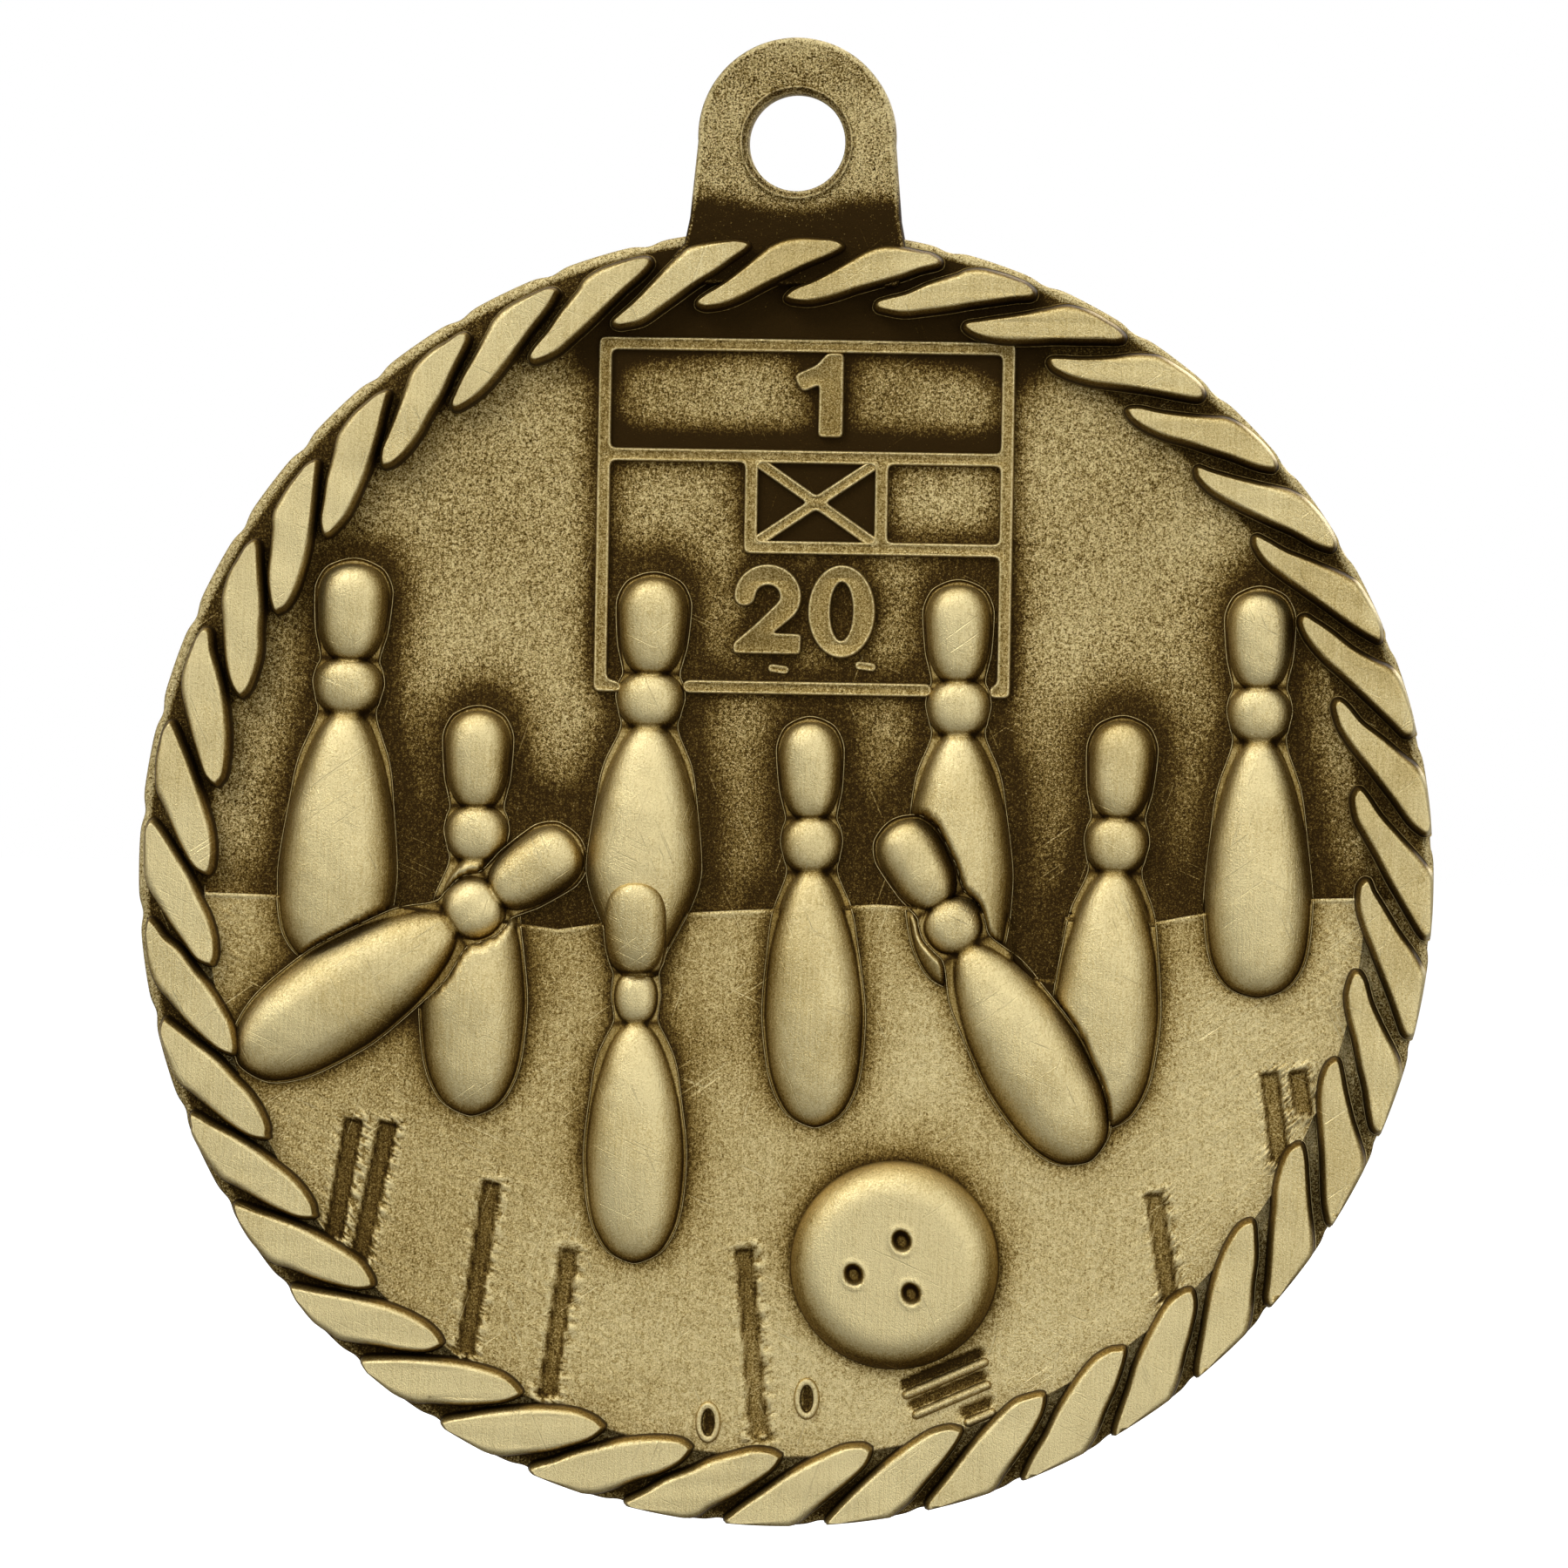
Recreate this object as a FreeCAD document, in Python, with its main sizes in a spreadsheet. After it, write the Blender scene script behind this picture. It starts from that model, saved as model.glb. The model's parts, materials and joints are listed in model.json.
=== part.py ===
import FreeCAD, Part
import Sketcher
import math
import os

# A round cast medal for bowling, hung by the lug on its rim. It stands upright in its own frame: +Z is up,
# the relief faces -Y, and the origin is the centre of the lug's hole, half way through the lug.
# Every relief piece is drawn in a plane parallel to XZ about the centre of the disc, and rises towards -Y.

os.makedirs("parts", exist_ok=True)
doc = FreeCAD.newDocument("bowling_medal")
Vector = FreeCAD.Vector

# ---------------------------------------------------------------- driving dimensions, mm and degrees
DRIVING_SIZES = [
    ("disc_radius", 25.4, "the medal is two inches across"),
    ("plate_thickness", 1.5, "back face to the field behind the pins"),
    ("edge_break", 0.2, "rounding of the disc's back edge"),
    ("centre_drop", 28.74, "lug hole down to the centre of the disc"),
    ("hole_radius", 1.9, "ribbon ring hole"),
    ("hole_break", 0.28, "chamfer at both mouths of the hole"),
    ("lug_thickness", 2.2, "its back is flush with the disc's"),
    ("lug_crown_radius", 3.86, "round top of the lug"),
    ("lug_crown_rise", 0.24, "centre of the round top above the hole"),
    ("lug_root_width", 8.5, "width where the lug meets the disc"),
    ("lug_edge_break", 0.3, "rounding of the lug's outline"),
    ("lane_rise", 0.35, "lane above the field"),
    ("lane_radius", 22.35, "edge of the lane under the rope"),
    ("groove_width", 0.62, "board lines sunk in the lane"),
    ("groove_depth", 0.22, "board lines sunk in the lane"),
    ("rope_inner_radius", 22.45, "inner tips of the strands"),
    ("rope_outer_radius", 25.3, "outer ends of the strands"),
    ("rope_height", 1.25, "crest of a strand above the field"),
    ("strand_sweep", 14.0, "angle that one strand covers"),
    ("strand_start", -0.4, "angle of the first strand's inner tip"),
    ("strand_edge", 0.18, "how far a crest stands in from its foot"),
    ("line_width", 0.48, "raised lines of the scoreboard"),
    ("line_height", 0.28, "raised lines of the scoreboard"),
    ("board_width", 15.8, "scoreboard, middle of line to middle of line"),
    ("board_height", 13.4, "scoreboard, middle of line to middle of line"),
    ("title_height", 4.35, "top cell of the scoreboard"),
    ("mark_height", 3.55, "row of the strike box"),
    ("mark_left", 5.8, "left line of the scoreboard to the strike box"),
    ("mark_width", 5.1, "strike box, middle of line to middle of line"),
    ("numeral_height", 0.34, "numerals above the field"),
    ("pin_length", 16.15, "foot to crown"),
    ("pin_belly_radius", 2.12, "widest part of the pin's body"),
    ("pin_throat_radius", 0.92, "creases above and below the collar"),
    ("pin_collar_radius", 1.26, "ring round the neck"),
    ("pin_head_radius", 1.36, "widest part of the pin's head"),
    ("pin_flatness", 0.66, "relief height over half width"),
    ("ball_radius", 4.1, "bowling ball"),
    ("ball_height", 1.3, "ball above the lane"),
    ("ball_edge_radius", 1.1, "rounding of the ball's edge"),
    ("finger_hole_radius", 0.46, "finger holes"),
    ("finger_hole_depth", 0.55, "finger holes"),
    ("streak_width", 0.3, "motion line behind the ball"),
    ("streak_height", 0.2, "motion line above the lane"),
    ("streak_spacing", 0.84, "middle to middle of the motion lines"),
    ("dot_width", 0.8, "oval aiming mark on the lane"),
    ("dot_length", 1.55, "oval aiming mark on the lane"),
    ("dot_wall", 0.2, "raised lip of an aiming mark"),
    ("dot_height", 0.2, "raised lip of an aiming mark"),
]

sheet = doc.addObject("Spreadsheet::Sheet", "Sizes")
for row, (alias, value, note) in enumerate(DRIVING_SIZES, start=1):
    sheet.set(f"A{row}", note)
    sheet.set(f"B{row}", str(value))
    sheet.setAlias(f"B{row}", alias)
doc.recompute()


def size(alias):
    return float(getattr(sheet, alias))


# The planes that pieces stand on, as expressions of the sheet: the field behind the pins, and the lane.
FIELD_LEVEL = "(Sizes.lug_thickness / 2 - Sizes.plate_thickness)"
LANE_LEVEL = "(Sizes.lug_thickness / 2 - Sizes.plate_thickness - Sizes.lane_rise)"
BACK_LEVEL = "(Sizes.lug_thickness / 2)"
DISC_CENTRE = "-Sizes.centre_drop"

STRAND_COUNT = 40


# ---------------------------------------------------------------- building helpers
def stand_on(piece, level, height=DISC_CENTRE):
    """Put a piece's own origin on the middle line, at a level in Y and a height in Z."""
    piece.setExpression("Placement.Base.y", level)
    piece.setExpression("Placement.Base.z", height)


def new_body(label, level):
    body = doc.addObject("PartDesign::Body", label)
    stand_on(body, level)
    return body


def new_sketch(body, name, geometry, rise=None):
    """A sketch facing the viewer, seen with X to the right and Z up, lifted towards -Y by rise."""
    sketch = body.newObject("Sketcher::SketchObject", name)
    plane = next(item for item in body.Origin.OriginFeatures if item.Role == "XZ_Plane")
    sketch.AttachmentSupport = [(plane, "")]
    sketch.MapMode = "FlatFace"
    if rise:
        sketch.setExpression("AttachmentOffset.Base.z", rise)
    sketch.addGeometry(geometry, False)
    return sketch


def new_pad(body, name, sketch, length):
    pad = body.newObject("PartDesign::Pad", name)
    pad.Profile = sketch
    pad.setExpression("Length", length)
    return pad


def new_pocket(body, name, sketch, depth):
    """Cut from the sketch's plane back into the piece, and make sure that it did cut."""
    doc.recompute()
    before = body.Shape.Volume
    pocket = body.newObject("PartDesign::Pocket", name)
    pocket.Profile = sketch
    pocket.setExpression("Length", depth)
    doc.recompute()
    if body.Shape.Volume >= before:
        raise RuntimeError(name + " cuts nothing")
    return pocket


def point(x, z):
    return Vector(x, z, 0)


def closed_lines(corners):
    """Straight sides through the corners, back to the first."""
    ends = corners[1:] + corners[:1]
    return [Part.LineSegment(point(*start), point(*end)) for start, end in zip(corners, ends)]


def arc_through(start, middle, end):
    return Part.Arc(point(*start), point(*middle), point(*end))


def rectangle(left, bottom, right, top):
    return [(left, bottom), (right, bottom), (right, top), (left, top)]


def bar(start, end, width):
    """Corners of a straight bar of one width between two points."""
    length = math.dist(start, end)
    side_x = (end[1] - start[1]) / length * width / 2
    side_z = -(end[0] - start[0]) / length * width / 2
    return [
        (start[0] + side_x, start[1] + side_z),
        (end[0] + side_x, end[1] + side_z),
        (end[0] - side_x, end[1] - side_z),
        (start[0] - side_x, start[1] - side_z),
    ]


def bound_circle(sketch, index, alias):
    """Tie a circle of the sketch to a radius in the sheet."""
    constraint = sketch.addConstraint(Sketcher.Constraint("Radius", index, size(alias)))
    sketch.setExpression(f"Constraints[{constraint}]", f"Sizes.{alias}")


def edges_at(shape, y_level):
    """Names of the edges that lie wholly in the plane Y = y_level."""
    names = []
    for number, edge in enumerate(shape.Edges, start=1):
        box = edge.BoundBox
        if abs(box.YMin - y_level) < 1e-4 and abs(box.YMax - y_level) < 1e-4:
            names.append(f"Edge{number}")
    return names


# ---------------------------------------------------------------- plate and lug
def make_medal_disc():
    body = new_body("medal_disc", BACK_LEVEL)
    circle = Part.Circle(point(0, 0), Vector(0, 0, 1), size("disc_radius"))
    sketch = new_sketch(body, "disc_outline", [circle])
    bound_circle(sketch, 0, "disc_radius")
    pad = new_pad(body, "disc_plate", sketch, "Sizes.plate_thickness")
    doc.recompute()
    rounding = body.newObject("PartDesign::Fillet", "disc_back_edge")
    rounding.Base = (pad, edges_at(pad.Shape, 0))
    rounding.setExpression("Radius", "Sizes.edge_break")
    return body


def make_hanging_lug():
    """A tongue with a round top and slightly spreading sides, seated on the rim of the disc."""
    body = doc.addObject("PartDesign::Body", "hanging_lug")
    body.setExpression("Placement.Base.y", BACK_LEVEL)
    crown = size("lug_crown_radius")
    rise = size("lug_crown_rise")
    half_root = size("lug_root_width") / 2
    seat = size("disc_radius") - size("centre_drop")
    root = math.sqrt(size("disc_radius") ** 2 - half_root ** 2) - size("centre_drop")
    outline = [
        Part.LineSegment(point(half_root, root), point(crown, rise)),
        arc_through((crown, rise), (0, rise + crown), (-crown, rise)),
        Part.LineSegment(point(-crown, rise), point(-half_root, root)),
        arc_through((-half_root, root), (0, seat), (half_root, root)),
    ]
    pad = new_pad(body, "lug_plate", new_sketch(body, "lug_outline", outline), "Sizes.lug_thickness")
    doc.recompute()
    seat_edges = {
        f"Edge{number}"
        for number, edge in enumerate(pad.Shape.Edges, start=1)
        if edge.BoundBox.ZMax < seat + 0.01
    }
    outer_edges = [
        name
        for level in (0, -size("lug_thickness"))
        for name in edges_at(pad.Shape, level)
        if name not in seat_edges
    ]
    rounding = body.newObject("PartDesign::Fillet", "lug_outline_edges")
    rounding.Base = (pad, outer_edges)
    rounding.setExpression("Radius", "Sizes.lug_edge_break")
    circle = Part.Circle(point(0, 0), Vector(0, 0, 1), size("hole_radius"))
    hole = new_sketch(body, "ring_hole_outline", [circle], "Sizes.lug_thickness")
    bound_circle(hole, 0, "hole_radius")
    pocket = new_pocket(body, "ring_hole", hole, "Sizes.lug_thickness")
    mouths = [
        f"Edge{number}"
        for number, edge in enumerate(pocket.Shape.Edges, start=1)
        if edge.Curve.TypeId == "Part::GeomCircle"
        and abs(edge.Curve.Radius - size("hole_radius")) < 1e-4
        and edge.Curve.Center.Length < size("lug_thickness") + 0.01
    ]
    chamfer = body.newObject("PartDesign::Chamfer", "ring_hole_mouths")
    chamfer.Base = (pocket, mouths)
    chamfer.setExpression("Size", "Sizes.hole_break")
    return body


# ---------------------------------------------------------------- lane
# The far edge of the lane, from the left rim to the right, wavers a little as hand-cut work does.
HORIZON = [
    (-22.3, -1.0), (-17.5, -1.1), (-8.8, -2.2), (-4.5, -1.5),
    (3.7, -1.0), (14.5, -1.5), (19.5, -0.5), (22.3, -0.4),
]

# Board lines sunk in the lane: far end, near end.
BOARD_LINES = [
    ((-16.8, -9.8), (-17.4, -14.4)),
    ((-15.3, -9.9), (-16.4, -15.2)),
    ((-11.1, -12.1), (-12.1, -18.6)),
    ((-8.1, -14.6), (-8.8, -20.1)),
    ((-1.3, -14.6), (-0.6, -21.7)),
    ((14.7, -12.1), (15.4, -16.1)),
    ((19.1, -7.3), (19.6, -10.5)),
    ((20.2, -7.2), (20.5, -8.7)),
]


# Streaks behind the ball: the middle of each raised line and its length. A sunk line lies above each one.
STREAKS = [((6.6, -19.6), 3.5), ((6.95, -20.4), 3.2), ((8.1, -20.65), 1.1)]
STREAK_LEAN = math.radians(30)


def streak_corners(centre, length, width, lift=0):
    """A bar along the streaks' lean, moved squarely up from its centre by lift."""
    middle = (centre[0] - lift * math.sin(STREAK_LEAN), centre[1] + lift * math.cos(STREAK_LEAN))
    along = (math.cos(STREAK_LEAN) * length / 2, math.sin(STREAK_LEAN) * length / 2)
    start = (middle[0] - along[0], middle[1] - along[1])
    end = (middle[0] + along[0], middle[1] + along[1])
    return bar(start, end, width)


def lane_outline():
    """The horizon, closed along the rim by the arc of the lane's radius."""
    radius = size("lane_radius")
    left_angle = math.asin(HORIZON[0][1] / radius)
    right_angle = math.asin(HORIZON[-1][1] / radius)
    left = (-radius * math.cos(left_angle), HORIZON[0][1])
    right = (radius * math.cos(right_angle), HORIZON[-1][1])
    edge = [left] + HORIZON[1:-1] + [right]
    sides = [Part.LineSegment(point(*start), point(*end)) for start, end in zip(edge, edge[1:])]
    return sides + [arc_through(right, (0, -radius), left)]


def make_lane_block(label):
    """The plain slab of the lane, before anything is cut into it."""
    body = new_body(label, FIELD_LEVEL)
    sketch = new_sketch(body, label + "_outline", lane_outline())
    new_pad(body, label + "_slab", sketch, "Sizes.lane_rise")
    doc.recompute()
    return body


def make_lane_floor():
    """The lane with its board lines and the sunk part of each motion line."""
    body = make_lane_block("lane_floor")
    board_lines = [bar(far, near, size("groove_width")) for far, near in BOARD_LINES]
    lift = size("streak_spacing") / 2
    streaks = [streak_corners(centre, length, lift, lift) for centre, length in STREAKS]
    for number, corners in enumerate(board_lines + streaks, start=1):
        sketch = new_sketch(body, f"sunk_line_{number}_outline", closed_lines(corners), "Sizes.lane_rise")
        new_pocket(body, f"sunk_line_{number}", sketch, "Sizes.groove_depth")
    return body


# ---------------------------------------------------------------- rope border
# One strand's outline, as shares of its sweep and of the rope's width. Runs of three points make its five
# arcs, each sharing its last point with the next: inner tip, lower edge, outer end, rim edge, upper edge.
STRAND_LOOP = [
    (0.015, 0.18), (-0.01, 0.06),
    (0.08, 0.00), (0.52, 0.28),
    (0.91, 0.70), (1.01, 0.90),
    (0.93, 0.98), (0.75, 1.00),
    (0.57, 0.97), (0.285, 0.62),
]


def strand_points(inset):
    """The strand's loop at angle 0, drawn in from its foot by inset."""
    inner = size("rope_inner_radius")
    width = size("rope_outer_radius") - inner
    loop = []
    for along, across in STRAND_LOOP:
        angle = math.radians(along * size("strand_sweep"))
        radius = inner + across * width
        loop.append((radius * math.sin(angle), radius * math.cos(angle)))
    drawn_in = []
    for index, (x, z) in enumerate(loop):
        before = loop[index - 1]
        after = loop[(index + 1) % len(loop)]
        run = math.dist(before, after)
        inward = (-(after[1] - before[1]) / run, (after[0] - before[0]) / run)
        drawn_in.append((x + inward[0] * inset, z + inward[1] * inset))
    return drawn_in


def strand_outline(inset):
    loop = strand_points(inset)
    count = len(loop)
    return [
        arc_through(loop[index], loop[index + 1], loop[(index + 2) % count])
        for index in range(0, count, 2)
    ]


def make_rope_strand(number):
    """A leaf-shaped strand lofted from its foot through a rounded shoulder to a narrower crest."""
    label = f"rope_strand_{number:02d}"
    body = new_body(label, FIELD_LEVEL)
    edge = size("strand_edge")
    foot = new_sketch(body, label + "_foot", strand_outline(0))
    shoulder = new_sketch(body, label + "_shoulder", strand_outline(edge * 0.35), "Sizes.rope_height * 0.7")
    crest = new_sketch(body, label + "_crest", strand_outline(edge), "Sizes.rope_height")
    loft = body.newObject("PartDesign::AdditiveLoft", label + "_loft")
    loft.Profile = foot
    loft.Sections = [shoulder, crest]
    turn = size("strand_start") + (number - 1) * 360 / STRAND_COUNT
    body.Placement.Rotation = FreeCAD.Rotation(Vector(0, 1, 0), turn)
    return body


# ---------------------------------------------------------------- scoreboard
BOARD_LEFT = -7.35
BOARD_TOP = 20.8


def make_scoreboard_frame():
    """Raised lines round a title cell, a strike box, the cell beside it and the open total cell."""
    body = new_body("scoreboard_frame_lines", FIELD_LEVEL)
    half = size("line_width") / 2
    right = BOARD_LEFT + size("board_width")
    bottom = BOARD_TOP - size("board_height")
    title_bottom = BOARD_TOP - size("title_height")
    mark_bottom = title_bottom - size("mark_height")
    mark_left = BOARD_LEFT + size("mark_left")
    mark_right = mark_left + size("mark_width")
    outside = rectangle(BOARD_LEFT - half, bottom - half, right + half, BOARD_TOP + half)
    title_cell = rectangle(BOARD_LEFT + half, title_bottom + half, right - half, BOARD_TOP - half)
    mark_cell = rectangle(mark_left + half, mark_bottom + half, mark_right - half, title_bottom - half)
    side_cell = rectangle(mark_right + half, mark_bottom + half, right - half, title_bottom - half)
    total_cell = [
        (BOARD_LEFT + half, bottom + half),
        (right - half, bottom + half),
        (right - half, mark_bottom - half),
        (mark_left - half, mark_bottom - half),
        (mark_left - half, title_bottom - half),
        (BOARD_LEFT + half, title_bottom - half),
    ]
    geometry = []
    for loop in (outside, title_cell, mark_cell, side_cell, total_cell):
        geometry += closed_lines(loop)
    new_pad(body, "scoreboard_pad", new_sketch(body, "scoreboard_outline", geometry), "Sizes.line_height")
    return body


def make_strike_mark():
    """The cross that fills the strike box, its arms stopping at the box's lines."""
    body = new_body("strike_mark", FIELD_LEVEL)
    width = size("line_width")
    left = BOARD_LEFT + size("mark_left") + width / 2
    right = BOARD_LEFT + size("mark_left") + size("mark_width") - width / 2
    top = BOARD_TOP - size("title_height") - width / 2
    bottom = BOARD_TOP - size("title_height") - size("mark_height") + width / 2
    centre = ((left + right) / 2, (top + bottom) / 2)
    rise_over_run = (top - bottom) / (right - left)
    across = width * math.hypot(1, rise_over_run) / 2
    along = across / rise_over_run
    arms = [
        (left, bottom), (left + along, bottom), (centre[0], centre[1] - across),
        (right - along, bottom), (right, bottom), (right, bottom + across),
        (centre[0] + along, centre[1]), (right, top - across), (right, top),
        (right - along, top), (centre[0], centre[1] + across), (left + along, top),
        (left, top), (left, top - across), (centre[0] - along, centre[1]), (left, bottom + across),
    ]
    new_pad(body, "strike_pad", new_sketch(body, "strike_outline", closed_lines(arms)), "Sizes.line_height")
    return body


def make_numeral_one():
    body = new_body("numeral_1", FIELD_LEVEL)
    corners = [
        (1.05, 17.15), (1.9, 17.15), (1.9, 20.5), (1.3, 20.5),
        (0.95, 19.9), (0.2, 19.5), (0.2, 18.75), (1.05, 19.1),
    ]
    sketch = new_sketch(body, "numeral_1_outline", closed_lines(corners))
    new_pad(body, "numeral_1_pad", sketch, "Sizes.numeral_height")
    return body


def two_outline(left, foot, wide, tall, stroke):
    """A round bowl swept into a straight neck and a flat foot."""
    middle = left + wide / 2
    outer = [(left + wide * 0.87, foot + tall * 0.46), (middle, foot + tall), (left, foot + tall * 0.66)]
    inner = [
        (left + stroke, foot + tall * 0.66),
        (middle, foot + tall - stroke),
        (left + wide - stroke * 1.3, foot + tall * 0.58),
    ]
    base = [
        inner[2],
        (left, foot + stroke * 0.7),
        (left, foot),
        (left + wide, foot),
        (left + wide, foot + stroke),
        (left + wide * 0.44, foot + stroke),
        outer[0],
    ]
    sides = [Part.LineSegment(point(*start), point(*end)) for start, end in zip(base, base[1:])]
    return [
        arc_through(*outer),
        Part.LineSegment(point(*outer[2]), point(*inner[0])),
        arc_through(*inner),
    ] + sides


def oval_ring(centre, half_long, half_wide, wall_long, wall_wide):
    """Two ellipses, upright, one inside the other."""
    rings = [
        Part.Ellipse(point(*centre), half_long, half_wide),
        Part.Ellipse(point(*centre), half_long - wall_long, half_wide - wall_wide),
    ]
    for ring in rings:
        ring.AngleXU = math.pi / 2
    return rings


def make_numeral_twenty():
    """A two and a nought side by side, two solids in one node."""
    body = new_body("numeral_20", FIELD_LEVEL)
    outlines = two_outline(left=-2.1, foot=8.7, wide=2.6, tall=3.45, stroke=0.68)
    outlines += oval_ring(centre=(2.07, 10.45), half_long=1.75, half_wide=1.25, wall_long=0.7, wall_wide=0.75)
    sketch = new_sketch(body, "numeral_20_outline", outlines)
    new_pad(body, "numeral_20_pad", sketch, "Sizes.numeral_height")
    return body


# ---------------------------------------------------------------- pins
# Pins carry their numbers on a rack: 1 in front, 7 to 10 at the back. Each row gives the foot, the lean from
# upright (clockwise), the length and width against the master pin, and the pins that stand in front of it.
PINS = {
    1: ((-5.6, -15.25), -0.6, 0.94, 0.95, ()),
    2: ((-20.9, -7.4), 56.8, 0.98, 0.9, (8,)),
    3: ((12.2, -10.9), -31.3, 0.96, 1.0, ()),
    4: ((-12.1, -9.6), 0.0, 1.0, 1.0, (2,)),
    5: ((1.4, -9.8), -1.8, 1.0, 0.95, ()),
    6: ((12.5, -9.7), 2.5, 1.01, 1.0, (3,)),
    7: ((-17.7, -3.9), 2.4, 1.0, 1.1, (2,)),
    8: ((-5.6, -4.25), 1.2, 1.0, 1.06, (1,)),
    9: ((6.9, -4.35), -1.0, 1.0, 1.0, (3,)),
    10: ((18.6, -4.4), -0.6, 1.0, 1.0, ()),
}
SHADOW_DEPTH = 6


def make_master_pin():
    """Half a turned pin, its axis on Z and its foot at the origin: body, collar and head between creases."""
    body = doc.addObject("PartDesign::Body", "master_pin")
    tall = size("pin_length")
    belly = size("pin_belly_radius")
    throat = size("pin_throat_radius")
    head = size("pin_head_radius")
    shoulder = tall * 0.62
    chin = tall * 0.755
    lower = Part.BSplineCurve()
    lower.interpolate([
        point(0, 0), point(belly * 0.74, tall * 0.055), point(belly, tall * 0.27),
        point(belly * 0.76, tall * 0.47), point(throat, shoulder),
    ])
    ring = (size("pin_collar_radius"), (shoulder + chin) / 2)
    collar = arc_through((throat, shoulder), ring, (throat, chin))
    upper = Part.BSplineCurve()
    upper.interpolate([
        point(throat, chin), point(head * 0.94, tall * 0.84), point(head, tall * 0.91),
        point(head * 0.62, tall * 0.98), point(0, tall),
    ])
    axis = Part.LineSegment(point(0, tall), point(0, 0))
    profile = new_sketch(body, "master_pin_profile", [lower, collar, upper, axis])
    turned = body.newObject("PartDesign::Revolution", "master_pin_turned")
    turned.Profile = profile
    turned.ReferenceAxis = (profile, ["V_Axis"])
    turned.Angle = 180
    turned.Reversed = True
    doc.recompute()
    return body


def place_pin(name, master, number, flatness):
    """The master pin scaled to one pin's size, flattened, leaned over and stood on the field."""
    foot, lean, long, wide, _ = PINS[number]
    pin = doc.addObject("Part::Scale", name)
    pin.Base = master
    pin.Uniform = False
    pin.XScale = wide
    pin.ZScale = long
    pin.setExpression("YScale", flatness)
    pin.Placement = FreeCAD.Placement(Vector(foot[0], 0, 0), FreeCAD.Rotation(Vector(0, 1, 0), lean))
    stand_on(pin, FIELD_LEVEL, f"{DISC_CENTRE} + {foot[1]}")
    doc.recompute()
    return pin


def cut(label, base, tools):
    """One piece less the others; each cut is an object of its own, and the last one has the label."""
    for index, tool in enumerate(tools):
        result = doc.addObject("Part::Cut", f"{label}_cut_{index + 1}")
        result.Base = base
        result.Tool = tool
        base = result
    doc.recompute()
    base.Label = label
    return base


def make_pins(lane_block):
    """All ten pins, and the deep outlines that trim whatever stands behind a pin."""
    master = make_master_pin()
    shadows = {
        number: place_pin(f"pin_{number}_shadow", master, number, f"Sizes.pin_flatness * {SHADOW_DEPTH}")
        for number in PINS
    }
    pins = []
    for number, row in PINS.items():
        blank = place_pin(f"pin_{number}_blank", master, number, "Sizes.pin_flatness")
        tools = [lane_block] + [shadows[front] for front in row[4]]
        pins.append(cut(f"pin_{number:02d}", blank, tools))
    return pins, shadows


# ---------------------------------------------------------------- ball and lane marks
BALL_CENTRE = (4.6, -15.1)
FINGER_HOLES = [(0.3, 1.0), (-1.55, -0.35), (0.7, -1.05)]
AIMING_DOTS = [(1.3, -20.3), (-2.6, -21.0)]


def make_bowling_ball():
    """A flat-topped dome with three finger holes."""
    body = new_body("bowling_ball", LANE_LEVEL)
    circle = Part.Circle(point(*BALL_CENTRE), Vector(0, 0, 1), size("ball_radius"))
    sketch = new_sketch(body, "ball_outline", [circle])
    bound_circle(sketch, 0, "ball_radius")
    pad = new_pad(body, "ball_pad", sketch, "Sizes.ball_height")
    doc.recompute()
    rounding = body.newObject("PartDesign::Fillet", "ball_edge")
    rounding.Base = (pad, edges_at(pad.Shape, -size("ball_height")))
    rounding.setExpression("Radius", "Sizes.ball_edge_radius")
    for number, (dx, dz) in enumerate(FINGER_HOLES, start=1):
        centre = point(BALL_CENTRE[0] + dx, BALL_CENTRE[1] + dz)
        hole = Part.Circle(centre, Vector(0, 0, 1), size("finger_hole_radius"))
        sketch = new_sketch(body, f"finger_hole_{number}_outline", [hole], "Sizes.ball_height")
        bound_circle(sketch, 0, "finger_hole_radius")
        new_pocket(body, f"finger_hole_{number}", sketch, "Sizes.finger_hole_depth")
    return body


def make_motion_lines():
    """Raised streaks behind the ball, three solids in one node."""
    body = new_body("motion_lines", LANE_LEVEL)
    geometry = []
    for centre, length in STREAKS:
        geometry += closed_lines(streak_corners(centre, length, size("streak_width")))
    sketch = new_sketch(body, "motion_lines_outline", geometry)
    new_pad(body, "motion_lines_pad", sketch, "Sizes.streak_height")
    return body


def make_aiming_dots():
    """Raised oval lips on the lane, two solids in one node."""
    body = new_body("aiming_dots", LANE_LEVEL)
    half_long = size("dot_length") / 2
    half_wide = size("dot_width") / 2
    wall = size("dot_wall")
    geometry = []
    for centre in AIMING_DOTS:
        geometry += oval_ring(centre, half_long, half_wide, wall, wall)
    sketch = new_sketch(body, "aiming_dots_outline", geometry)
    new_pad(body, "aiming_dots_pad", sketch, "Sizes.dot_height")
    return body


# ---------------------------------------------------------------- the medal
pieces = [make_medal_disc(), make_hanging_lug(), make_lane_floor()]
pins, pin_shadows = make_pins(make_lane_block("lane_block"))
pieces += pins
board_lines = make_scoreboard_frame()
doc.recompute()
pieces.append(cut("scoreboard_frame", board_lines, [pin_shadows[8], pin_shadows[9]]))
pieces += [make_strike_mark(), make_numeral_one(), make_numeral_twenty()]
pieces += [make_bowling_ball(), make_motion_lines(), make_aiming_dots()]
pieces += [make_rope_strand(number) for number in range(1, STRAND_COUNT + 1)]
doc.recompute()

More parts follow.
